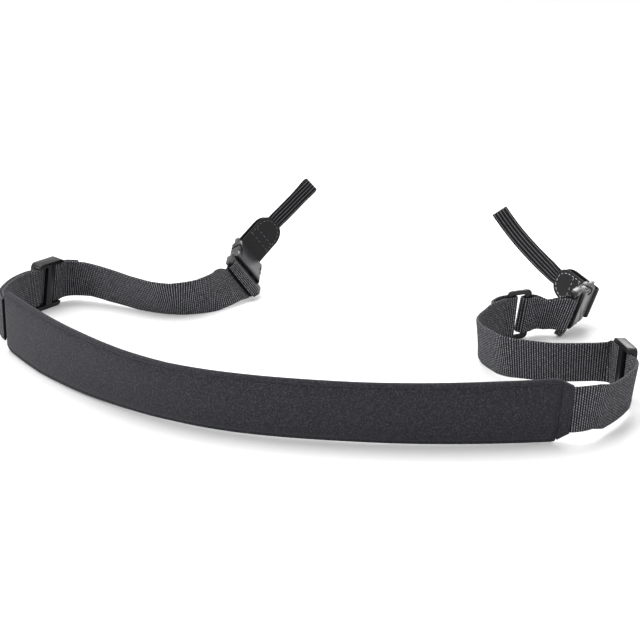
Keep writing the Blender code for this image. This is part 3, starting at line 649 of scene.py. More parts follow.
class Finish:
    """A material and the nodes behind its Principled shader."""

    def __init__(self, name, colour, roughness, **settings):
        self.material = bpy.data.materials.new(name)
        self.material.use_nodes = True
        self.nodes = self.material.node_tree.nodes
        self.links = self.material.node_tree.links
        self.shader = self.nodes["Principled BSDF"]
        self.shader.inputs["Base Color"].default_value = (*colour, 1)
        self.shader.inputs["Roughness"].default_value = roughness
        for socket, value in settings.items():
            self.shader.inputs[socket.replace("_", " ")].default_value = value

    def add(self, kind, settings=None, **inputs):
        """A node of a type, its settings first and then its sockets' values or links."""
        node = self.nodes.new(kind)
        for name, value in (settings or {}).items():
            setattr(node, name, value)
        for name, value in inputs.items():
            self.feed(node.inputs[name.replace("_", " ")], value)
        return node

    def feed(self, socket, item):
        """A socket's link or its value."""
        if isinstance(item, Value):
            self.links.new(item.socket, socket)
        elif isinstance(item, bpy.types.NodeSocket):
            self.links.new(item, socket)
        else:
            socket.default_value = item

    def value(self, kind, output, settings=None, **inputs):
        """A new node's output as a value."""
        return Value(self, self.add(kind, settings, **inputs).outputs[output])

    def at(self):
        """The object's own coordinates."""
        return self.add("ShaderNodeTexCoord").outputs["Object"]

    def noise(self, scale, detail=2, stretch=None):
        """Noise from 0 to 1, by the object's own metres."""
        where = self.at()
        if stretch:
            where = self.add("ShaderNodeMapping", None, Vector=where, Scale=stretch).outputs[0]
        return self.value("ShaderNodeTexNoise", "Fac", None, Vector=where, Scale=scale, Detail=detail)

    def lengthways(self):
        """Distance along and across a band, in millimetres, from its own map."""
        spot = self.add("ShaderNodeUVMap", {"uv_map": "weave"}).outputs[0]
        parts = self.add("ShaderNodeSeparateXYZ", None, Vector=spot)
        return Value(self, parts.outputs[0]) * 1000, Value(self, parts.outputs[1]) * 1000

    def colour(self, low, high, share):
        """The base colour, mixed from two by a share."""
        mix = self.add("ShaderNodeMix", {"data_type": "RGBA"})
        self.feed(mix.inputs["Factor"], share)
        mix.inputs[6].default_value = (*low, 1)
        mix.inputs[7].default_value = (*high, 1)
        self.links.new(mix.outputs[2], self.shader.inputs["Base Color"])

    def roughness(self, share, low, high):
        """The roughness, between two values by a share."""
        self.feed(self.shader.inputs["Roughness"], share * (high - low) + low)

    def bump(self, height, depth, strength=1.0):
        """Bump of a height from 0 to 1, depth in metres."""
        node = self.add("ShaderNodeBump", None, Height=height, Strength=strength, Distance=depth)
        self.links.new(node.outputs[0], self.shader.inputs["Normal"])


def webbing_finish(name, colour, light, warp_pitch, rib_pitch):
    """Ribbed nylon, dark between the ribs, with painted highlights: glints painted on the yarn crowns in
    rows along each rib.
    """
    made = Finish(name, colour, 0.75, Sheen_Weight=0.02, Sheen_Roughness=0.4)
    made.shader.inputs["Specular IOR Level"].default_value = 0.15
    along, across = made.lengthways()
    row = (along / rib_pitch).floor()
    warp = (across * (2 * math.pi / warp_pitch) + row * math.pi).sin() * 0.5 + 0.5
    weft = (along * (math.pi / rib_pitch)).sin().abs()
    fibre = made.noise(1300, 3)
    crown = (weft ** 1.4) * (warp * 0.6 + 0.4)
    # Painted highlight: the pale colour is a glint painted on each rib's crown, in rows along the ribs.
    made.colour(colour, light, (weft ** 6) * (warp * 0.7 + 0.3) * (fibre.between(0.3, 0.7) * 0.8 + 0.3))
    made.roughness(fibre, 0.55, 0.85)
    made.bump(crown * 0.8 + fibre * 0.2, 0.35 * MM, 1.0)
    return made.material


def lug_finish(name, colour, light, rib_pitch):
    """Lengthwise ribs: dark cords with a painted highlight, a thin pale line painted along each crest."""
    made = Finish(name, colour, 0.7, Sheen_Weight=0.01)
    made.shader.inputs["Specular IOR Level"].default_value = 0.12
    along, across = made.lengthways()
    crest = (across * (math.pi / rib_pitch)).sin().abs()
    yarn = (along * (math.pi / YARN_PITCH)).sin().abs()
    fibre = made.noise(1800, 3)
    # Painted highlight: a thin pale line painted on each rib's crest.
    made.colour(colour, light, (crest ** 14) * (yarn * 0.4 + 0.5) * (fibre.between(0.3, 0.65) * 0.7 + 0.3))
    made.roughness(fibre, 0.55, 0.8)
    made.bump(yarn * 0.3 + crest * 0.5 + fibre * 0.2, 0.15 * MM, 0.6)
    return made.material


def foam_finish():
    """Jersey-faced foam: a fine heather of knitted yarn."""
    made = Finish("pad_jersey", (0.02, 0.02, 0.022), 0.85, Sheen_Weight=0.06, Sheen_Roughness=0.5)
    made.shader.inputs["Specular IOR Level"].default_value = 0.2
    grain = made.noise(1100, 4)
    knit = made.noise(2600, 2)
    cloud = made.noise(45, 2)
    fleck = grain.between(0.42, 0.68) * 0.7 + knit.between(0.45, 0.65) * 0.4
    made.colour((0.007, 0.007, 0.009), (0.039, 0.039, 0.047), fleck * 0.85 + cloud * 0.1)
    made.roughness(knit, 0.75, 0.92)
    made.bump(grain * 0.6 + knit * 0.4, 0.25 * MM, 0.8)
    return made.material


def plastic_finish(name, colour, low, high, shine):
    """Moulded plastic, its roughness between two values."""
    made = Finish(name, colour, 0.4)
    made.shader.inputs["Specular IOR Level"].default_value = shine
    grain = made.noise(2600, 2)
    made.roughness(grain, low, high)
    made.bump(grain, 0.02 * MM, 0.3)
    return made.material


def leather_finish():
    """Leather: small pores and a faint unevenness."""
    made = Finish("tab_leather", (0.008, 0.008, 0.009), 0.5)
    made.shader.inputs["Specular IOR Level"].default_value = 0.2
    cells = made.value(
        "ShaderNodeTexVoronoi", "Distance", {"feature": "F1"}, Vector=made.at(), Scale=1700.0
    )
    pores = cells.between(0.1, 0.7)
    haze = made.noise(300, 3)
    made.colour((0.005, 0.005, 0.006), (0.012, 0.012, 0.0135), pores * 0.4 + haze * 0.5)
    made.roughness(haze, 0.42, 0.6)
    made.bump(pores, 0.08 * MM, 0.5)
    return made.material


def thread_finish(name, colour, light):
    """Twisted thread."""
    made = Finish(name, colour, 0.6, Sheen_Weight=0.1)
    twist = made.noise(6000, 2, stretch=(1, 1, 0.4))
    made.colour(colour, light, twist.between(0.35, 0.7))
    made.bump(twist, 0.08 * MM, 0.5)
    return made.material


# Swept pieces


def sampled(places, spacing, closed=False):
    """Arrays of the places at an even spacing: point, along, across, face and distance."""
    spots = list(places) + ([places[0]] if closed else [])
    columns = [np.array([getattr(spot, name) for spot in spots]) for name in Place._fields]
    gaps = np.linalg.norm(np.diff(columns[0], axis=0), axis=1)
    run = np.concatenate([[0], np.cumsum(gaps)])
    keep = np.concatenate([[True], np.diff(run) > 1e-7])
    run, columns = run[keep], [column[keep] for column in columns]
    count = max(2, round(run[-1] / spacing))
    at = np.linspace(0, run[-1], count + 1)
    even = [
        np.stack([np.interp(at, run, column[:, axis]) for axis in range(3)], 1)
        for column in columns
    ]
    for index in (1, 2, 3):
        even[index] /= np.linalg.norm(even[index], axis=1, keepdims=True)
    if closed:
        even = [column[:-1] for column in even]
        at = at[:-1]
    return (*even, at, run[-1])


def swept(name, places, section, spacing, closed=False):
    """A closed skin swept along places. section gives aside, out and relief arrays at distances."""
    point, _, across, face, at, total = sampled(places, spacing, closed)
    aside, out, relief = section(at, total)
    rings, columns = len(at), aside.shape[1]
    spots = point[:, None] + across[:, None] * aside[..., None] + face[:, None] * out[..., None]
    outward = face[:, None] * np.sign(out)[..., None] * relief[..., None]
    ring, column = np.meshgrid(np.arange(rings), np.arange(columns), indexing="ij")
    after, beside = (ring + 1) % rings, (column + 1) % columns
    if not closed:
        ring, column, after, beside = (grid[:-1] for grid in (ring, column, after, beside))
    corners = [(ring, column), (ring, beside), (after, beside), (after, column)]
    quads = np.stack([r * columns + c for r, c in corners], -1).reshape(-1, 4)
    flat = spots.reshape(-1, 3)
    normal = np.cross(flat[quads[:, 2]] - flat[quads[:, 0]], flat[quads[:, 3]] - flat[quads[:, 1]])
    from_middle = flat[quads[:, 0]] - np.repeat(point, columns, 0)[quads[:, 0]]
    if np.einsum("ij,ij->i", from_middle, normal).sum() < 0:
        quads = quads[:, ::-1]
    faces = quads.tolist()
    mesh = bpy.data.meshes.new(name)
    caps = [] if closed else [list(range(columns)), list(range((rings - 1) * columns, rings * columns))]
    mesh.from_pydata(flat.tolist(), [], faces + caps)
    vertex_at = np.repeat(at, columns)
    vertex_across = aside.reshape(-1) + aside.max()
    corner_vertex = np.empty(len(mesh.loops), np.int32)
    mesh.loops.foreach_get("vertex_index", corner_vertex)
    u = vertex_at[corner_vertex]
    if closed:
        first = len(quads) * 4
        spans = u[:first].reshape(-1, 4)
        spans[(spans.max(1) - spans.min(1) > total / 2)[:, None] & (spans < total / 2)] += total
    layer = mesh.uv_layers.new(name="weave")
    layer.data.foreach_set("uv", np.stack([u, vertex_across[corner_vertex]], 1).ravel())
    for attribute, kind, values in (
        ("along", "FLOAT", vertex_at),
        ("across", "FLOAT", vertex_across),
        ("outward", "FLOAT_VECTOR", outward.reshape(-1)),
    ):
        made = mesh.attributes.new(attribute, kind, "POINT")
        made.data.foreach_set("vector" if kind == "FLOAT_VECTOR" else "value", values)
    shape = bmesh.new()
    shape.from_mesh(mesh)
    if not closed:
        ends = [face for face in shape.faces if len(face.verts) > 4]
        bmesh.ops.recalc_face_normals(shape, faces=shape.faces)
        bmesh.ops.triangulate(shape, faces=ends)
    shape.to_mesh(mesh)
    shape.free()
    mesh.shade_smooth()
    mesh.set_sharp_from_angle(angle=math.radians(50))
    made = bpy.data.objects.new(name, mesh)
    bpy.context.scene.collection.objects.link(made)
    return made


def mirrored_section(outline):
    """A section from its upper half: aside, out and relief columns."""
    upper = np.array(outline)
    lower = upper[::-1] * (1, -1, 1)
    whole = np.concatenate([upper, lower])

    def section(at, total):
        return [np.tile(whole[:, column], (len(at), 1)) for column in range(3)]

    return section


def webbing_section(width):
    """Webbing: a rounded, slightly thicker selvedge along both edges, and ribs between them."""
    left = [
        (-width / 2 + row.inset * MM, WEBBING_HALF * row.share, row.relief) for row in SELVEDGE
    ]
    right = [(-across, out, relief) for across, out, relief in reversed(left)]
    return mirrored_section(left + [(0, left[-1][1], 1.0)] + right)


def lug_section():
    """Lug strap: a narrow flat band whose relief is shaped into lengthwise ribs."""
    half, thick = LUG_STRAP_WIDTH / 2, LUG_STRAP_THICKNESS / 2
    count = LUG_RIBS * COLUMNS_PER_RIB
    edge = thick * LUG_EDGE_SHARE
    columns = [(-half, edge, 0)]
    for index in range(1, count):
        columns.append((-half + 2 * half * index / count, thick - LUG_RIB_DEPTH, 1))
    return mirrored_section(columns + [(half, edge, 0)])


# Geometry node trees


def node_tree(name, inputs):
    """An empty tree with its named inputs."""
    tree = bpy.data.node_groups.new(name, "GeometryNodeTree")
    tree.interface.new_socket("Geometry", in_out="INPUT", socket_type="NodeSocketGeometry")
    tree.interface.new_socket("Geometry", in_out="OUTPUT", socket_type="NodeSocketGeometry")
    for label, kind, value in inputs:
        socket = tree.interface.new_socket(label, in_out="INPUT", socket_type=kind)
        if value is not None:
            socket.default_value = value
    return tree


def given_to(tree, socket, value):
    """A socket's link or its value."""
    if isinstance(value, bpy.types.NodeSocket):
        tree.links.new(value, socket)
    else:
        socket.default_value = value


def placed_node(tree, kind, settings=None, **inputs):
    """A node of a type, its settings first and then its sockets' values or links."""
    node = tree.nodes.new(kind)
    for name, value in (settings or {}).items():
        setattr(node, name, value)
    for name, value in inputs.items():
        given_to(tree, node.inputs[name.replace("_", " ")], value)
    return node


def field_math(tree, operation, *values):
    """The result of a Math node."""
    node = tree.nodes.new("ShaderNodeMath")
    node.operation = operation
    for socket, value in zip(node.inputs, values):
        given_to(tree, socket, value)
    return node.outputs[0]


def rib_tree():
    """Raises ribs out of a swept band, across it or along it, by its own distances."""
    tree = node_tree("woven_ribs", [
        ("Pitch", "NodeSocketFloat", RIB_PITCH),
        ("Depth", "NodeSocketFloat", RIB_DEPTH),
        ("Lengthwise", "NodeSocketBool", False),
        ("Finish", "NodeSocketMaterial", None),
    ])
    given = tree.nodes.new("NodeGroupInput").outputs
    along = placed_node(tree, "GeometryNodeInputNamedAttribute", {"data_type": "FLOAT"}, Name="along")
    across = placed_node(tree, "GeometryNodeInputNamedAttribute", {"data_type": "FLOAT"}, Name="across")
    outward = placed_node(
        tree, "GeometryNodeInputNamedAttribute", {"data_type": "FLOAT_VECTOR"}, Name="outward"
    )
    switch = placed_node(
        tree, "GeometryNodeSwitch", {"input_type": "FLOAT"}, Switch=given["Lengthwise"],
        **{"False": along.outputs["Attribute"], "True": across.outputs["Attribute"]},
    )
    turns = field_math(tree, "DIVIDE", switch.outputs[0], given["Pitch"])
    wave = field_math(tree, "SINE", field_math(tree, "MULTIPLY", turns, math.pi))
    height = field_math(tree, "POWER", field_math(tree, "ABSOLUTE", wave), RIB_FULLNESS)
    height = field_math(tree, "MULTIPLY", height, given["Depth"])
    offset = placed_node(tree, "ShaderNodeVectorMath", {"operation": "SCALE"}, Scale=height)
    tree.links.new(outward.outputs["Attribute"], offset.inputs[0])
    raised = placed_node(
        tree, "GeometryNodeSetPosition", None, Geometry=given["Geometry"], Offset=offset.outputs[0]
    )
    finish_tree(tree, raised.outputs[0], given["Finish"])
    return tree


def finish_tree(tree, geometry, finish):
    """Ends a tree: instances made real, and the finish set."""
    real = placed_node(tree, "GeometryNodeRealizeInstances", None, Geometry=geometry)
    dressed = placed_node(
        tree, "GeometryNodeSetMaterial", None, Geometry=real.outputs[0], Material=finish
    )
    out = tree.nodes.new("NodeGroupOutput")
    tree.links.new(dressed.outputs[0], out.inputs[0])


def stitch_tree():
    """Lays a row of rounded stitches along each line of a path."""
    tree = node_tree("stitch_row", [
        ("Pitch", "NodeSocketFloat", STITCH_PITCH),
        ("Stitch length", "NodeSocketFloat", STITCH_LENGTH),
        ("Thread", "NodeSocketFloat", STITCH_THREAD),
        ("Height", "NodeSocketFloat", STITCH_THREAD),
        ("Finish", "NodeSocketMaterial", None),
    ])
    given = tree.nodes.new("NodeGroupInput").outputs
    line = placed_node(tree, "GeometryNodeMeshToCurve", None, Mesh=given["Geometry"])
    spaced = placed_node(
        tree, "GeometryNodeResampleCurve", {"mode": "LENGTH"}, Curve=line.outputs[0], Length=given["Pitch"]
    )
    tangent = tree.nodes.new("GeometryNodeInputTangent")
    turned = placed_node(
        tree, "FunctionNodeAlignRotationToVector", {"axis": "X"}, Vector=tangent.outputs[0]
    )
    bead = placed_node(tree, "GeometryNodeMeshUVSphere", None, Segments=10, Rings=7, Radius=0.5)
    smooth = placed_node(tree, "GeometryNodeSetShadeSmooth", None, Geometry=bead.outputs[0])
    size = placed_node(
        tree, "ShaderNodeCombineXYZ", None, X=given["Stitch length"], Y=given["Thread"], Z=given["Height"]
    )
    laid = placed_node(
        tree, "GeometryNodeInstanceOnPoints", None, Points=spaced.outputs[0],
        Instance=smooth.outputs[0], Rotation=turned.outputs[0], Scale=size.outputs[0],
    )
    finish_tree(tree, laid.outputs[0], given["Finish"])
    return tree


def with_tree(made, tree, settings):
    """The object's mesh after a tree, with the modifier gone."""
    modifier = made.modifiers.new(tree.name, "NODES")
    modifier.node_group = tree
    for item in tree.interface.items_tree:
        if item.in_out == "INPUT" and item.name in settings:
            modifier[item.identifier] = settings[item.name]
    return baked(made)


def baked(made):
    """The object's modifiers worked into its mesh, and its place too."""
    bpy.context.view_layer.update()
    graph = bpy.context.evaluated_depsgraph_get()
    mesh = bpy.data.meshes.new_from_object(made.evaluated_get(graph), depsgraph=graph)
    made.modifiers.clear()
    mesh.name = made.name
    made.data = mesh
    mesh.transform(made.matrix_world)
    made.matrix_world = Matrix.Identity(4)
    return made


def beaded(name, lines, settings):
    """Rounded beads laid along lines of points, as stitches or ridges."""
    points, edges = [], []
    for line in lines:
        start = len(points)
        points += [tuple(spot) for spot in line]
        edges += [(start + index, start + index + 1) for index in range(len(line) - 1)]
    mesh = bpy.data.meshes.new(name)
    mesh.from_pydata(points, edges, [])
    made = bpy.data.objects.new(name, mesh)
    bpy.context.scene.collection.objects.link(made)
    return with_tree(made, STITCHES, settings)


# Flat panels: the pad, its end sleeve and the leather tabs


def panel_section(half_width, profile, insets):
    """A panel's section: its half width at each distance, its half thickness by how far in it is."""

    def section(at, total):
        left = np.minimum(at, total - at)
        half = half_width(at, total)[:, None]
        inner = np.array(insets)[None]
        side = half - np.minimum(inner, half)
        near = np.minimum(np.minimum(inner, half), left[:, None] + profile.start)
        thick = profile(near)
        upper = np.concatenate([-side, side[:, -2::-1]], 1)
        rise = np.concatenate([thick, thick[:, -2::-1]], 1)
        aside = np.concatenate([upper, upper[:, ::-1]], 1)
        out = np.concatenate([rise, -rise[:, ::-1]], 1)
        return aside, out, np.zeros_like(aside)

    return section


class Profile:
    """Half thickness against distance in from the edge, straight between its rows.

    At a band's two ends it starts at a distance in, so that they needn't be thin.
    """

    def __init__(self, rows, start=0.0):
        self.inset, self.half = np.array(rows).T * MM
        self.start = start

    def __call__(self, inset):
        return np.interp(inset, self.inset, self.half)


PAD_PROFILE = Profile((
    (0, 0.55), (0.25, 1.05), (0.6, 1.45), (1.0, 1.6), (1.4, 1.55), (1.75, 1.3), (2.0, 1.22),
    (2.3, 1.38), (2.8, 1.75), (3.6, 2.2), (4.6, 2.6), (6.0, 2.92), (8.0, 3.12), (11.0, 3.2), (18.25, 3.24),
))
SLEEVE_PROFILE = Profile((
    (0, 0.8), (0.2, 1.3), (0.5, 1.7), (1.0, 1.9), (2.0, 1.95), (4.0, 2.05), (13.75, 2.1),
), start=0.5 * MM)
LEATHER_PROFILE = Profile((
    (0, 0.25), (0.12, 0.41), (0.3, 0.5), (0.6, 0.54), (1.0, 0.52), (1.2, 0.47), (1.45, 0.47), (1.7, 0.52),
    (2.4, 0.55), (10.0, 0.55),
))
PAD_INSETS = [inset * MM for inset in (
    0, 0.12, 0.25, 0.42, 0.6, 0.8, 1.0, 1.2, 1.4, 1.58, 1.75, 1.88, 2.0, 2.15, 2.3, 2.55, 2.8, 3.2,
    3.6, 4.1, 4.6, 5.3, 6.0, 7.0, 8.0, 9.5, 11.0, 13.0, 15.5, 40,
)]
LEATHER_INSETS = [inset * MM for inset in (
    0, 0.06, 0.12, 0.2, 0.3, 0.45, 0.6, 0.8, 1.0, 1.1, 1.2, 1.32, 1.45, 1.58, 1.7, 2.0, 2.4, 4, 6, 40,
)]


def rounding(left, reach):
    """0 at an end, rising round a quarter ellipse to 1 at a reach from it."""
    return np.sqrt(np.maximum(0, 1 - (1 - np.minimum(left / reach, 1)) ** 2))


def pad_half_width(at, total):
    """Well rounded where the pad starts, nearly square at its seam with the sleeve."""
    start = TAB_WIDTH + (PAD_WIDTH - TAB_WIDTH) * rounding(at, PAD_CORNER)
    end = PAD_END_WIDTH + (PAD_WIDTH - PAD_END_WIDTH) * rounding(total - at, PAD_END_CORNER)
    return np.where(at < total / 2, start, end) / 2


def sleeve_half_width(at, total):
    """A sleeve narrowing from the pad's end to the webbing."""
    return (PAD_END_WIDTH + (TAB_WIDTH - PAD_END_WIDTH) * at / total) / 2


def leather_half_width(at, total):
    """A strip with a round tip at each end."""
    left = np.minimum(at, total - at)
    return (LEATHER_TIP + (LEATHER_WIDTH - LEATHER_TIP) * rounding(left, LEATHER_WIDTH / 2)) / 2


def leather_places(leather, slack):
    """A leather strip's places: up one leaf, round the bar and back down the other leaf."""
    count = math.ceil(LEATHER_LENGTH * FINER / STEP)
    middle = [
        turned_back(moved(leather, along=LEATHER_LENGTH * (1 - step / count) - slack))
        for step in range(count + 1)
    ]
    blend = LEATHER_LENGTH * 0.45
    over = leg(middle, LEATHER_LEAF, LEATHER_WRAP, blend)
    under = leg(middle, -LEATHER_LEAF, -LEATHER_WRAP, blend)
    back = [turned_back(spot) for spot in reversed(under[:-1])]
    return over[:-1] + fold(middle[-1], LEATHER_WRAP) + back


class Surface:
    """Points on or above a swept band, by distance, across and out of its face."""

    def __init__(self, places):
        self.point, _, self.across, self.face, self.at, self.total = sampled(places, 0.25 * MM)

    def spot(self, s, across, out):
        found = [
            np.array([np.interp(s, self.at, column[:, axis]) for axis in range(3)])
            for column in (self.point, self.across, self.face)
        ]
        return found[0] + found[1] * across + found[2] * out


# Moulded pieces


def rounded(corners, steps=5):
    """An outline from corners given as x, y and the size of their rounding."""
    outline = []
    count = len(corners)
    for index, (x, y, size) in enumerate(corners):
        here = np.array((x, y))
        if not size:
            outline.append((x, y))
            continue
        before = np.array(corners[index - 1][:2]) - here
        after = np.array(corners[(index + 1) % count][:2]) - here
        start = here + before / np.linalg.norm(before) * size
        end = here + after / np.linalg.norm(after) * size
        for step in range(steps + 1):
            part = step / steps
            spot = start * (1 - part) ** 2 + here * 2 * part * (1 - part) + end * part**2
            outline.append(tuple(spot))
    return outline


def both_sides(side):
    """An outline from its upper side, the lower one mirrored from it."""
    return side + [(x, -y, size) for x, y, size in reversed(side)]


def box_corners(start, end, low, high, size=0.0):
    """A rectangle's corners, each with the size of its rounding."""
    return [(start, low, size), (end, low, size), (end, high, size), (start, high, size)]


def prism(name, corners, low, high, way="face", steps=5):
    """A flat outline given its thickness: out of the face, across the band or along it."""
    outline = rounded(corners, steps)
    shape = bmesh.new()
    depth = high - low
    if way == "across":
        spots, grow = [(x, low, y) for x, y in outline], (0, depth, 0)
    elif way == "along":
        spots, grow = [(low, x, y) for x, y in outline], (depth, 0, 0)
    else:
        spots, grow = [(x, y, low) for x, y in outline], (0, 0, depth)
    base = shape.faces.new([shape.verts.new(spot) for spot in spots])
    grown = bmesh.ops.extrude_face_region(shape, geom=[base])
    raised = [item for item in grown["geom"] if isinstance(item, bmesh.types.BMVert)]
    bmesh.ops.translate(shape, verts=raised, vec=grow)
    bmesh.ops.recalc_face_normals(shape, faces=shape.faces)
    mesh = bpy.data.meshes.new(name)
    shape.to_mesh(mesh)
    shape.free()
    made = bpy.data.objects.new(name, mesh)
    bpy.context.scene.collection.objects.link(made)
    return made


def moulded(name, place, body, cuts, edge=0.4 * MM, joined=(), within=()):
    """A plastic moulding: a prism with cuts and its edges rounded, stood at its place."""
    made = prism(name, *body)
    tools = []
    for index, (operation, shape) in enumerate(
        [("UNION", shape) for shape in joined] + [("INTERSECT", shape) for shape in within]
        + [("DIFFERENCE", shape) for shape in cuts]
    ):
        tool = prism(f"{name}_tool_{index}", *shape)
        modifier = made.modifiers.new(tool.name, "BOOLEAN")
        modifier.operation = operation
        modifier.solver = "EXACT"
        modifier.object = tool
        tools.append(tool)
    bevel = made.modifiers.new("edges", "BEVEL")
    bevel.width = edge
    bevel.segments = 3
    bevel.limit_method = "ANGLE"
    bevel.angle_limit = math.radians(28)
    bevel.use_clamp_overlap = True
    bevel.harden_normals = True
    baked(made)
    for tool in tools:
        bpy.data.objects.remove(tool, do_unlink=True)
    made.data.shade_smooth()
    made.data.set_sharp_from_angle(angle=math.radians(42))
    return stood(made, place)


def stood(made, place):
    """A piece made flat at the origin, carried to its place."""
    axes = Matrix((place.along, place.across, place.along.cross(place.across))).transposed()
    made.data.transform(Matrix.Translation(place.point) @ axes.to_4x4())
    return made


def plate_outline(length):
    """A slider's or ring's outline with round corners."""
    end, height, corner = length / 2, SLIDER_HEIGHT / 2, SLIDER_CORNER * 0.85
    return both_sides([(-end, height, corner), (end, height, corner)])


def woven_slider(name, place, layers):
    """A three-bar slider with room for one or two webbings through its slots."""
    centre_under = -SLIDER_WEAVE + WEBBING_HALF + SEAT
    top = centre_under + SLIDER_BAR
    end_top = SLIDER_WEAVE - WEBBING_HALF - SEAT - (layers - 1) * (WEBBING_THICKNESS + LAYER_GAP)
    bottom = end_top - SLIDER_BAR
    inner = WEBBING_WIDTH / 2 + PLAY
    slot_end = SLIDER_LENGTH / 2 - SLIDER_END_BAR
    slot_start = SLIDER_CENTRE_BAR / 2
    beyond = SLIDER_LENGTH
    cuts = [
        (box_corners(slot_start, slot_end, -inner, inner, SLOT_CORNER), -beyond, beyond),
        (box_corners(-slot_end, -slot_start, -inner, inner, SLOT_CORNER), -beyond, beyond),
        (box_corners(slot_start, beyond, -inner, inner), end_top, beyond),
        (box_corners(-beyond, -slot_start, -inner, inner), end_top, beyond),
        (box_corners(-slot_end, slot_end, -inner, inner), -beyond, centre_under),
    ]
    return moulded(name, place, (plate_outline(SLIDER_LENGTH), bottom, top), cuts, 0.45 * MM)


def strap_ring(name, place):
    """A flat rectangular ring with a webbing looped round each of its two wide bars."""
    inner = WEBBING_WIDTH / 2 + PLAY
    opening = RING_LENGTH / 2 - RING_BAR
    beyond = RING_LENGTH
    cuts = [(box_corners(-opening, opening, -inner, inner, SLOT_CORNER), -beyond, beyond)]
    body = (plate_outline(RING_LENGTH), -RING_THICKNESS / 2, RING_THICKNESS / 2)
    return moulded(name, place, body, cuts, 0.45 * MM)


def buckle_plug(name, place):
    """The plug: webbing bar, base, guide tongue and two prongs whose pads fill the windows."""
    half = BUCKLE_WIDTH / 2
    hollow = SOCKET_WIDTH / 2 - BUCKLE_WALL - PLAY
    pad_out = SOCKET_WIDTH / 2 - 0.9 * MM
    pad_in = SOCKET_WIDTH / 2 - WINDOW_DEPTH + PLAY
    pad_high = BUCKLE_THICKNESS / 2 - 0.5 * MM
    base_end = SOCKET_START - SEAT
    prong_in, prong_out = hollow * 0.5, hollow * 0.76
    head_start = SOCKET_START + SOCKET_LENGTH * 0.38
    head_end = SOCKET_START + SOCKET_LENGTH * 0.72
    guide = hollow * 0.16
    core = BUCKLE_THICKNESS / 2 - BUCKLE_WALL - PLAY
    side = [
        (-BUCKLE_BAR / 2, half, 1.2 * MM), (base_end, half, 1.8 * MM),
        (base_end, prong_out, 0), (head_start, prong_out, 0), (head_start + 1 * MM, pad_out, 1.1 * MM),
        (head_end, pad_out, 1.6 * MM), (head_end, prong_in, 0),
        (base_end, prong_in, 0), (base_end, guide, 0), (head_end, guide, 0.8 * MM),
    ]
    pad = box_corners(head_start + 0.2 * MM, head_end - 0.2 * MM, -pad_high, pad_high, 2 * MM)
    pads = [(pad, *sorted((sign * pad_in, sign * (pad_out - 0.2 * MM))), "across") for sign in (1, -1)]
    inner = WEBBING_WIDTH / 2 + PLAY
    thin = BUCKLE_BAR / 2
    beyond = BUCKLE_WIDTH
    cuts = [
        (box_corners(BUCKLE_BAR / 2, BASE_START, -inner, inner, 0.5 * MM), -beyond, beyond),
        (box_corners(-beyond, BUCKLE_BAR, -inner, inner), thin, beyond),
        (box_corners(-beyond, BUCKLE_BAR, -inner, inner), -beyond, -thin),
    ]
    return moulded(name, place, (both_sides(side), -core, core), cuts, 0.4 * MM, pads)


def buckle_socket(name, place):
    """The socket: a hollow housing, its narrow sides round with open windows, and a leather bar."""
    half = SOCKET_WIDTH / 2
    arm = LEATHER_WIDTH / 2 + PLAY + BUCKLE_ARM
    rear = BUCKLE_REACH + BUCKLE_BAR / 2
    waist = half - WAIST_INSET
    side = [
        (SOCKET_START, half, 0), (SOCKET_START + SOCKET_LENGTH * 0.2, half, 2 * MM),
        (SOCKET_START + SOCKET_LENGTH * 0.36, waist, 1.5 * MM),
        (SOCKET_START + SOCKET_LENGTH * 0.75, waist, 1.5 * MM),
        (SOCKET_END, arm, 1 * MM), (rear, arm, 1.2 * MM),
    ]
    out = BUCKLE_THICKNESS / 2
    hollow, core = waist - BUCKLE_WALL, out - BUCKLE_WALL
    window_start = SOCKET_START + SOCKET_LENGTH * 0.34
    window_end = SOCKET_START + SOCKET_LENGTH * 0.76
    inner = LEATHER_WIDTH / 2 + PLAY
    thin = BUCKLE_BAR / 2
    beyond = BUCKLE_WIDTH
    sill = half - WINDOW_DEPTH
    envelope = (box_corners(-half, half, -out, out, ENVELOPE_CORNER), 0, 2 * BUCKLE_REACH, "along", 9)
    windows = [
        (box_corners(window_start, window_end, low, high, 1.5 * MM), -beyond, beyond)
        for low, high in ((sill, beyond), (-beyond, -sill))
    ]
    cuts = windows + [
        (box_corners(0, SOCKET_END - 2 * BUCKLE_WALL, -hollow, hollow), -core, core),
        (box_corners(SOCKET_END, BUCKLE_REACH - thin, -inner, inner, SLOT_CORNER), -beyond, beyond),
        (box_corners(SOCKET_END, beyond + BUCKLE_REACH, -beyond, beyond), thin, beyond),
        (box_corners(SOCKET_END, beyond + BUCKLE_REACH, -beyond, beyond), -beyond, -thin),
    ]
    return moulded(name, place, (both_sides(side), -out, out), cuts, 0.45 * MM, within=[envelope])


def grip_ridges(name, place, finish):
    """Low ridges across each narrow side of a socket, between its window and its rear."""
    start = SOCKET_START + SOCKET_LENGTH * 0.8
    end = SOCKET_END - WAIST_INSET
    low = SOCKET_WIDTH / 2 - WAIST_INSET
    high = LEATHER_WIDTH / 2 + PLAY + BUCKLE_ARM
    lines = [
        [(start, sign * low, 0), (end, sign * (low + high) / 2, 0)] for sign in (1, -1)
    ]
    settings = {
        "Pitch": 1.15 * MM,
        "Stitch length": 0.75 * MM,
        "Thread": 0.6 * MM,
        "Height": BUCKLE_THICKNESS - ENVELOPE_CORNER,
        "Finish": finish,
    }
    return stood(beaded(name, lines, settings), place)


# Finishes

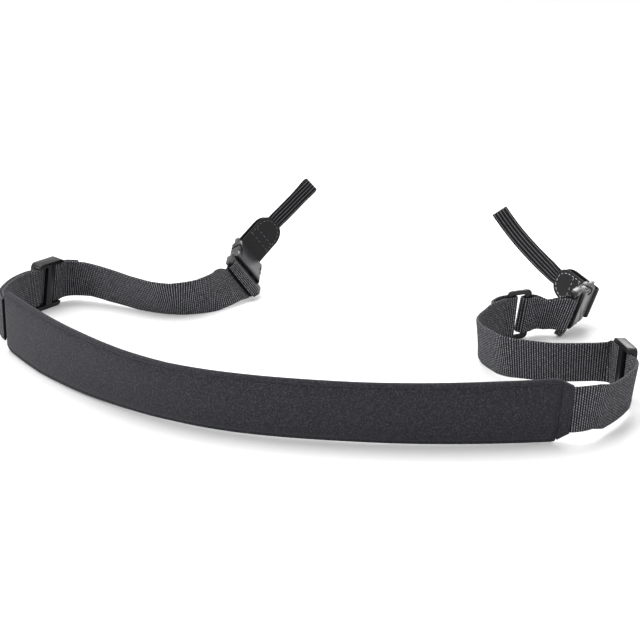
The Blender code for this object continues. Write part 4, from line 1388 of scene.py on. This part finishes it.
RIBS = rib_tree()
STITCHES = stitch_tree()
# The webbing's pale second colour is a painted highlight: glints on the rib crowns.
WEBBING = webbing_finish(
    "webbing_weave_painted_glints", (0.003, 0.003, 0.004), (0.36, 0.36, 0.39), 1.45, RIB_PITCH * 1000
)
# The lug straps' pale second colour is a painted highlight along each rib's crest.
LUG_WEAVE = lug_finish(
    "lug_weave_painted_highlights", (0.003, 0.003, 0.0035), (0.18, 0.18, 0.19), LUG_STRAP_WIDTH / LUG_RIBS * 1000
)
JERSEY = foam_finish()
SLIDER_PLASTIC = plastic_finish("slider_plastic", (0.004, 0.004, 0.005), 0.3, 0.42, 0.3)
BUCKLE_PLASTIC = plastic_finish("buckle_plastic", (0.014, 0.014, 0.016), 0.26, 0.4, 0.6)
LEATHER = leather_finish()
PALE_THREAD = thread_finish("pale_thread", (0.3, 0.3, 0.31), (0.6, 0.6, 0.6))
DARK_THREAD = thread_finish("dark_thread", (0.05, 0.05, 0.052), (0.13, 0.13, 0.135))


def dressed(piece, node, slot, finish):
    """The piece takes a solid's place, rides with the rest and has its finish."""
    piece.data.materials.clear()
    piece.data.materials.append(finish)
    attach(piece, "root")
    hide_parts(node)
    return piece


def added(piece):
    """A small piece that rides with the rest."""
    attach(piece, "root")
    return piece


def flat_length(places, closed=False):
    """A band's length when it is laid flat."""
    run = lengths_along(places)[-1]
    return run + (places[0].point - places[-1].point).length * closed


def webbing(node, places, closed=False, width=WEBBING_WIDTH):
    """A ribbed webbing in place of its plain solid."""
    band = swept(node + "_weave", places, webbing_section(width), RIB_PITCH / RINGS_PER_RIB, closed)
    band = with_tree(band, RIBS, {"Pitch": RIB_PITCH, "Depth": RIB_DEPTH, "Finish": WEBBING})
    dressed(band, node, "nylon_webbing", WEBBING)
    flat_length(places, closed)


def lug_strap(node, places):
    """A lug strap with lengthwise ribs in place of its plain solid."""
    band = swept(node + "_weave", places, lug_section(), 0.8 * MM)
    pitch = LUG_STRAP_WIDTH / LUG_RIBS
    band = with_tree(
        band, RIBS, {"Pitch": pitch, "Depth": LUG_RIB_DEPTH, "Lengthwise": True, "Finish": LUG_WEAVE}
    )
    dressed(band, node, "nylon_webbing", LUG_WEAVE)
    flat_length(places)


def stitch_lines(surface):
    """Each leaf's stitching: a line along its edge and round its tip, and two rows across it."""
    side = []
    for left in STITCH_STATIONS:
        edge = float(leather_half_width(max(left - STITCH_INSET, 0), surface.total))
        side.append((left, edge - STITCH_INSET))
    loop = side + [(left, -across) for left, across in reversed(side)]
    wide = LEATHER_WIDTH / 2 - STITCH_ROW_INSET
    rows = [[(left, across) for across in (-wide, 0, wide)] for left in STITCH_ROWS]
    out = LEATHER_HALF + STITCH_RISE
    lines = []
    for from_end in (False, True):
        for line in [loop] + rows:
            lines.append([
                surface.spot(surface.total - left if from_end else left, across, out)
                for left, across in line
            ])
    return lines


def leather_tab(node, leather, slack, thread):
    """One arm's leather strip and its stitches."""
    places = leather_places(leather, slack)
    length = flat_length(places)
    section = panel_section(leather_half_width, LEATHER_PROFILE, LEATHER_INSETS)
    tab = dressed(swept(node + "_strip", places, section, 0.3 * MM), node, "black_leather", LEATHER)
    settings = {
        "Pitch": STITCH_PITCH,
        "Stitch length": STITCH_LENGTH,
        "Thread": STITCH_THREAD,
        "Height": STITCH_THREAD,
        "Finish": thread,
    }
    stitches = added(beaded(node + "_stitches", stitch_lines(Surface(places)), settings))


def neck_pad():
    """The pad and the sleeve at its end."""
    section = panel_section(pad_half_width, PAD_PROFILE, PAD_INSETS)
    pad = swept("neck_pad_foam", plan["pad"], section, 0.6 * MM)
    dressed(pad, "neck_pad", "neoprene", JERSEY)
    section = panel_section(sleeve_half_width, SLEEVE_PROFILE, PAD_INSETS)
    sleeve = swept("pad_end_sleeve", plan["sleeve"], section, 0.3 * MM)
    dressed(sleeve, "pad_end_tab", "neoprene", JERSEY)


def buckle(side):
    """One arm's buckle: plug, socket and grip ridges."""
    place = plan[side + "_buckle"]
    plug = buckle_plug(side + "_plug_body", place)
    dressed(plug, side + "_buckle_plug", "black_plastic", BUCKLE_PLASTIC)
    socket = buckle_socket(side + "_socket_housing", place)
    dressed(socket, side + "_buckle_socket", "black_plastic", BUCKLE_PLASTIC)
    ridges = added(grip_ridges(side + "_grip_ridges", place, BUCKLE_PLASTIC))


def strap():
    """Every piece of the strap."""
    neck_pad()
    webbing("right_webbing", plan["right_webbing"])
    webbing("right_link_webbing", plan["right_link"], closed=True, width=LINK_WIDTH)
    webbing("left_webbing", plan["left_webbing"])
    webbing("left_tail_webbing", plan["left_tail"])
    outer = woven_slider("right_outer_slider_body", plan["right_outer_slider"], 1)
    dressed(outer, "right_outer_slider", "black_plastic", SLIDER_PLASTIC)
    left = woven_slider("left_slider_body", plan["left_slider"], 2)
    dressed(left, "left_slider", "black_plastic", SLIDER_PLASTIC)
    ring = strap_ring("right_strap_ring_body", plan["right_strap_ring"])
    dressed(ring, "right_strap_ring", "black_plastic", SLIDER_PLASTIC)
    for side, slack, thread in (("left", 0, DARK_THREAD), ("right", RIGHT_LEATHER_SLACK, PALE_THREAD)):
        buckle(side)
        leather_tab(side + "_leather_tab", plan[side + "_leather"], slack, thread)
        lug_strap(side + "_lug_strap", plan[side + "_lug_strap"])


# Floor, light and camera


def floor():
    """A wide pale sheet under the strap."""
    finish = Finish("pale_floor", (0.9, 0.9, 0.9), 0.6)
    mesh = bpy.data.meshes.new("pale_floor")
    corners = [(x * FLOOR_REACH, y * FLOOR_REACH, 0) for x, y in ((-1, -1), (1, -1), (1, 1), (-1, 1))]
    mesh.from_pydata(corners, [], [(0, 1, 2, 3)])
    mesh.materials.append(finish.material)
    made = bpy.data.objects.new("pale_floor", mesh)
    bpy.context.scene.collection.objects.link(made)


def area_light(name, spot, aim, size, watts):
    """A round soft light at a spot, turned to a point."""
    data = bpy.data.lights.new(name, "AREA")
    data.shape = "DISK"
    data.size = size
    data.energy = watts
    made = bpy.data.objects.new(name, data)
    bpy.context.scene.collection.objects.link(made)
    made.location = spot
    made.rotation_euler = (Vector(aim) - Vector(spot)).to_track_quat("-Z", "Y").to_euler()


def light_and_camera():
    """A white room, three soft lights and the photograph's view."""
    world = bpy.data.worlds.new("pale_room")
    world.use_nodes = True
    world.node_tree.nodes["Background"].inputs["Color"].default_value = (1, 1, 1, 1)
    world.node_tree.nodes["Background"].inputs["Strength"].default_value = 1.0
    bpy.context.scene.world = world
    area_light("overhead", (-0.3, 0.2, 1.5), (0, 0, 0), 1.4, 16)
    area_light("left_front", (-1.3, -0.9, 0.6), (-0.1, 0, 0.02), 0.7, 12)
    area_light("rim", (0.5, 1.3, 0.8), (0, 0, 0.03), 0.6, 6)
    lens = bpy.data.cameras.new("viewpoint")
    lens.lens = LENS
    camera = bpy.data.objects.new("viewpoint", lens)
    bpy.context.scene.collection.objects.link(camera)
    camera.location = Vector((0, 0, EYE_HEIGHT)) + shift
    camera.rotation_euler = (math.radians(90 - LOOK_DOWN), 0, 0)
    bpy.context.scene.camera = camera
    bpy.context.scene.view_settings.view_transform = "Standard"


strap()
floor()
light_and_camera()
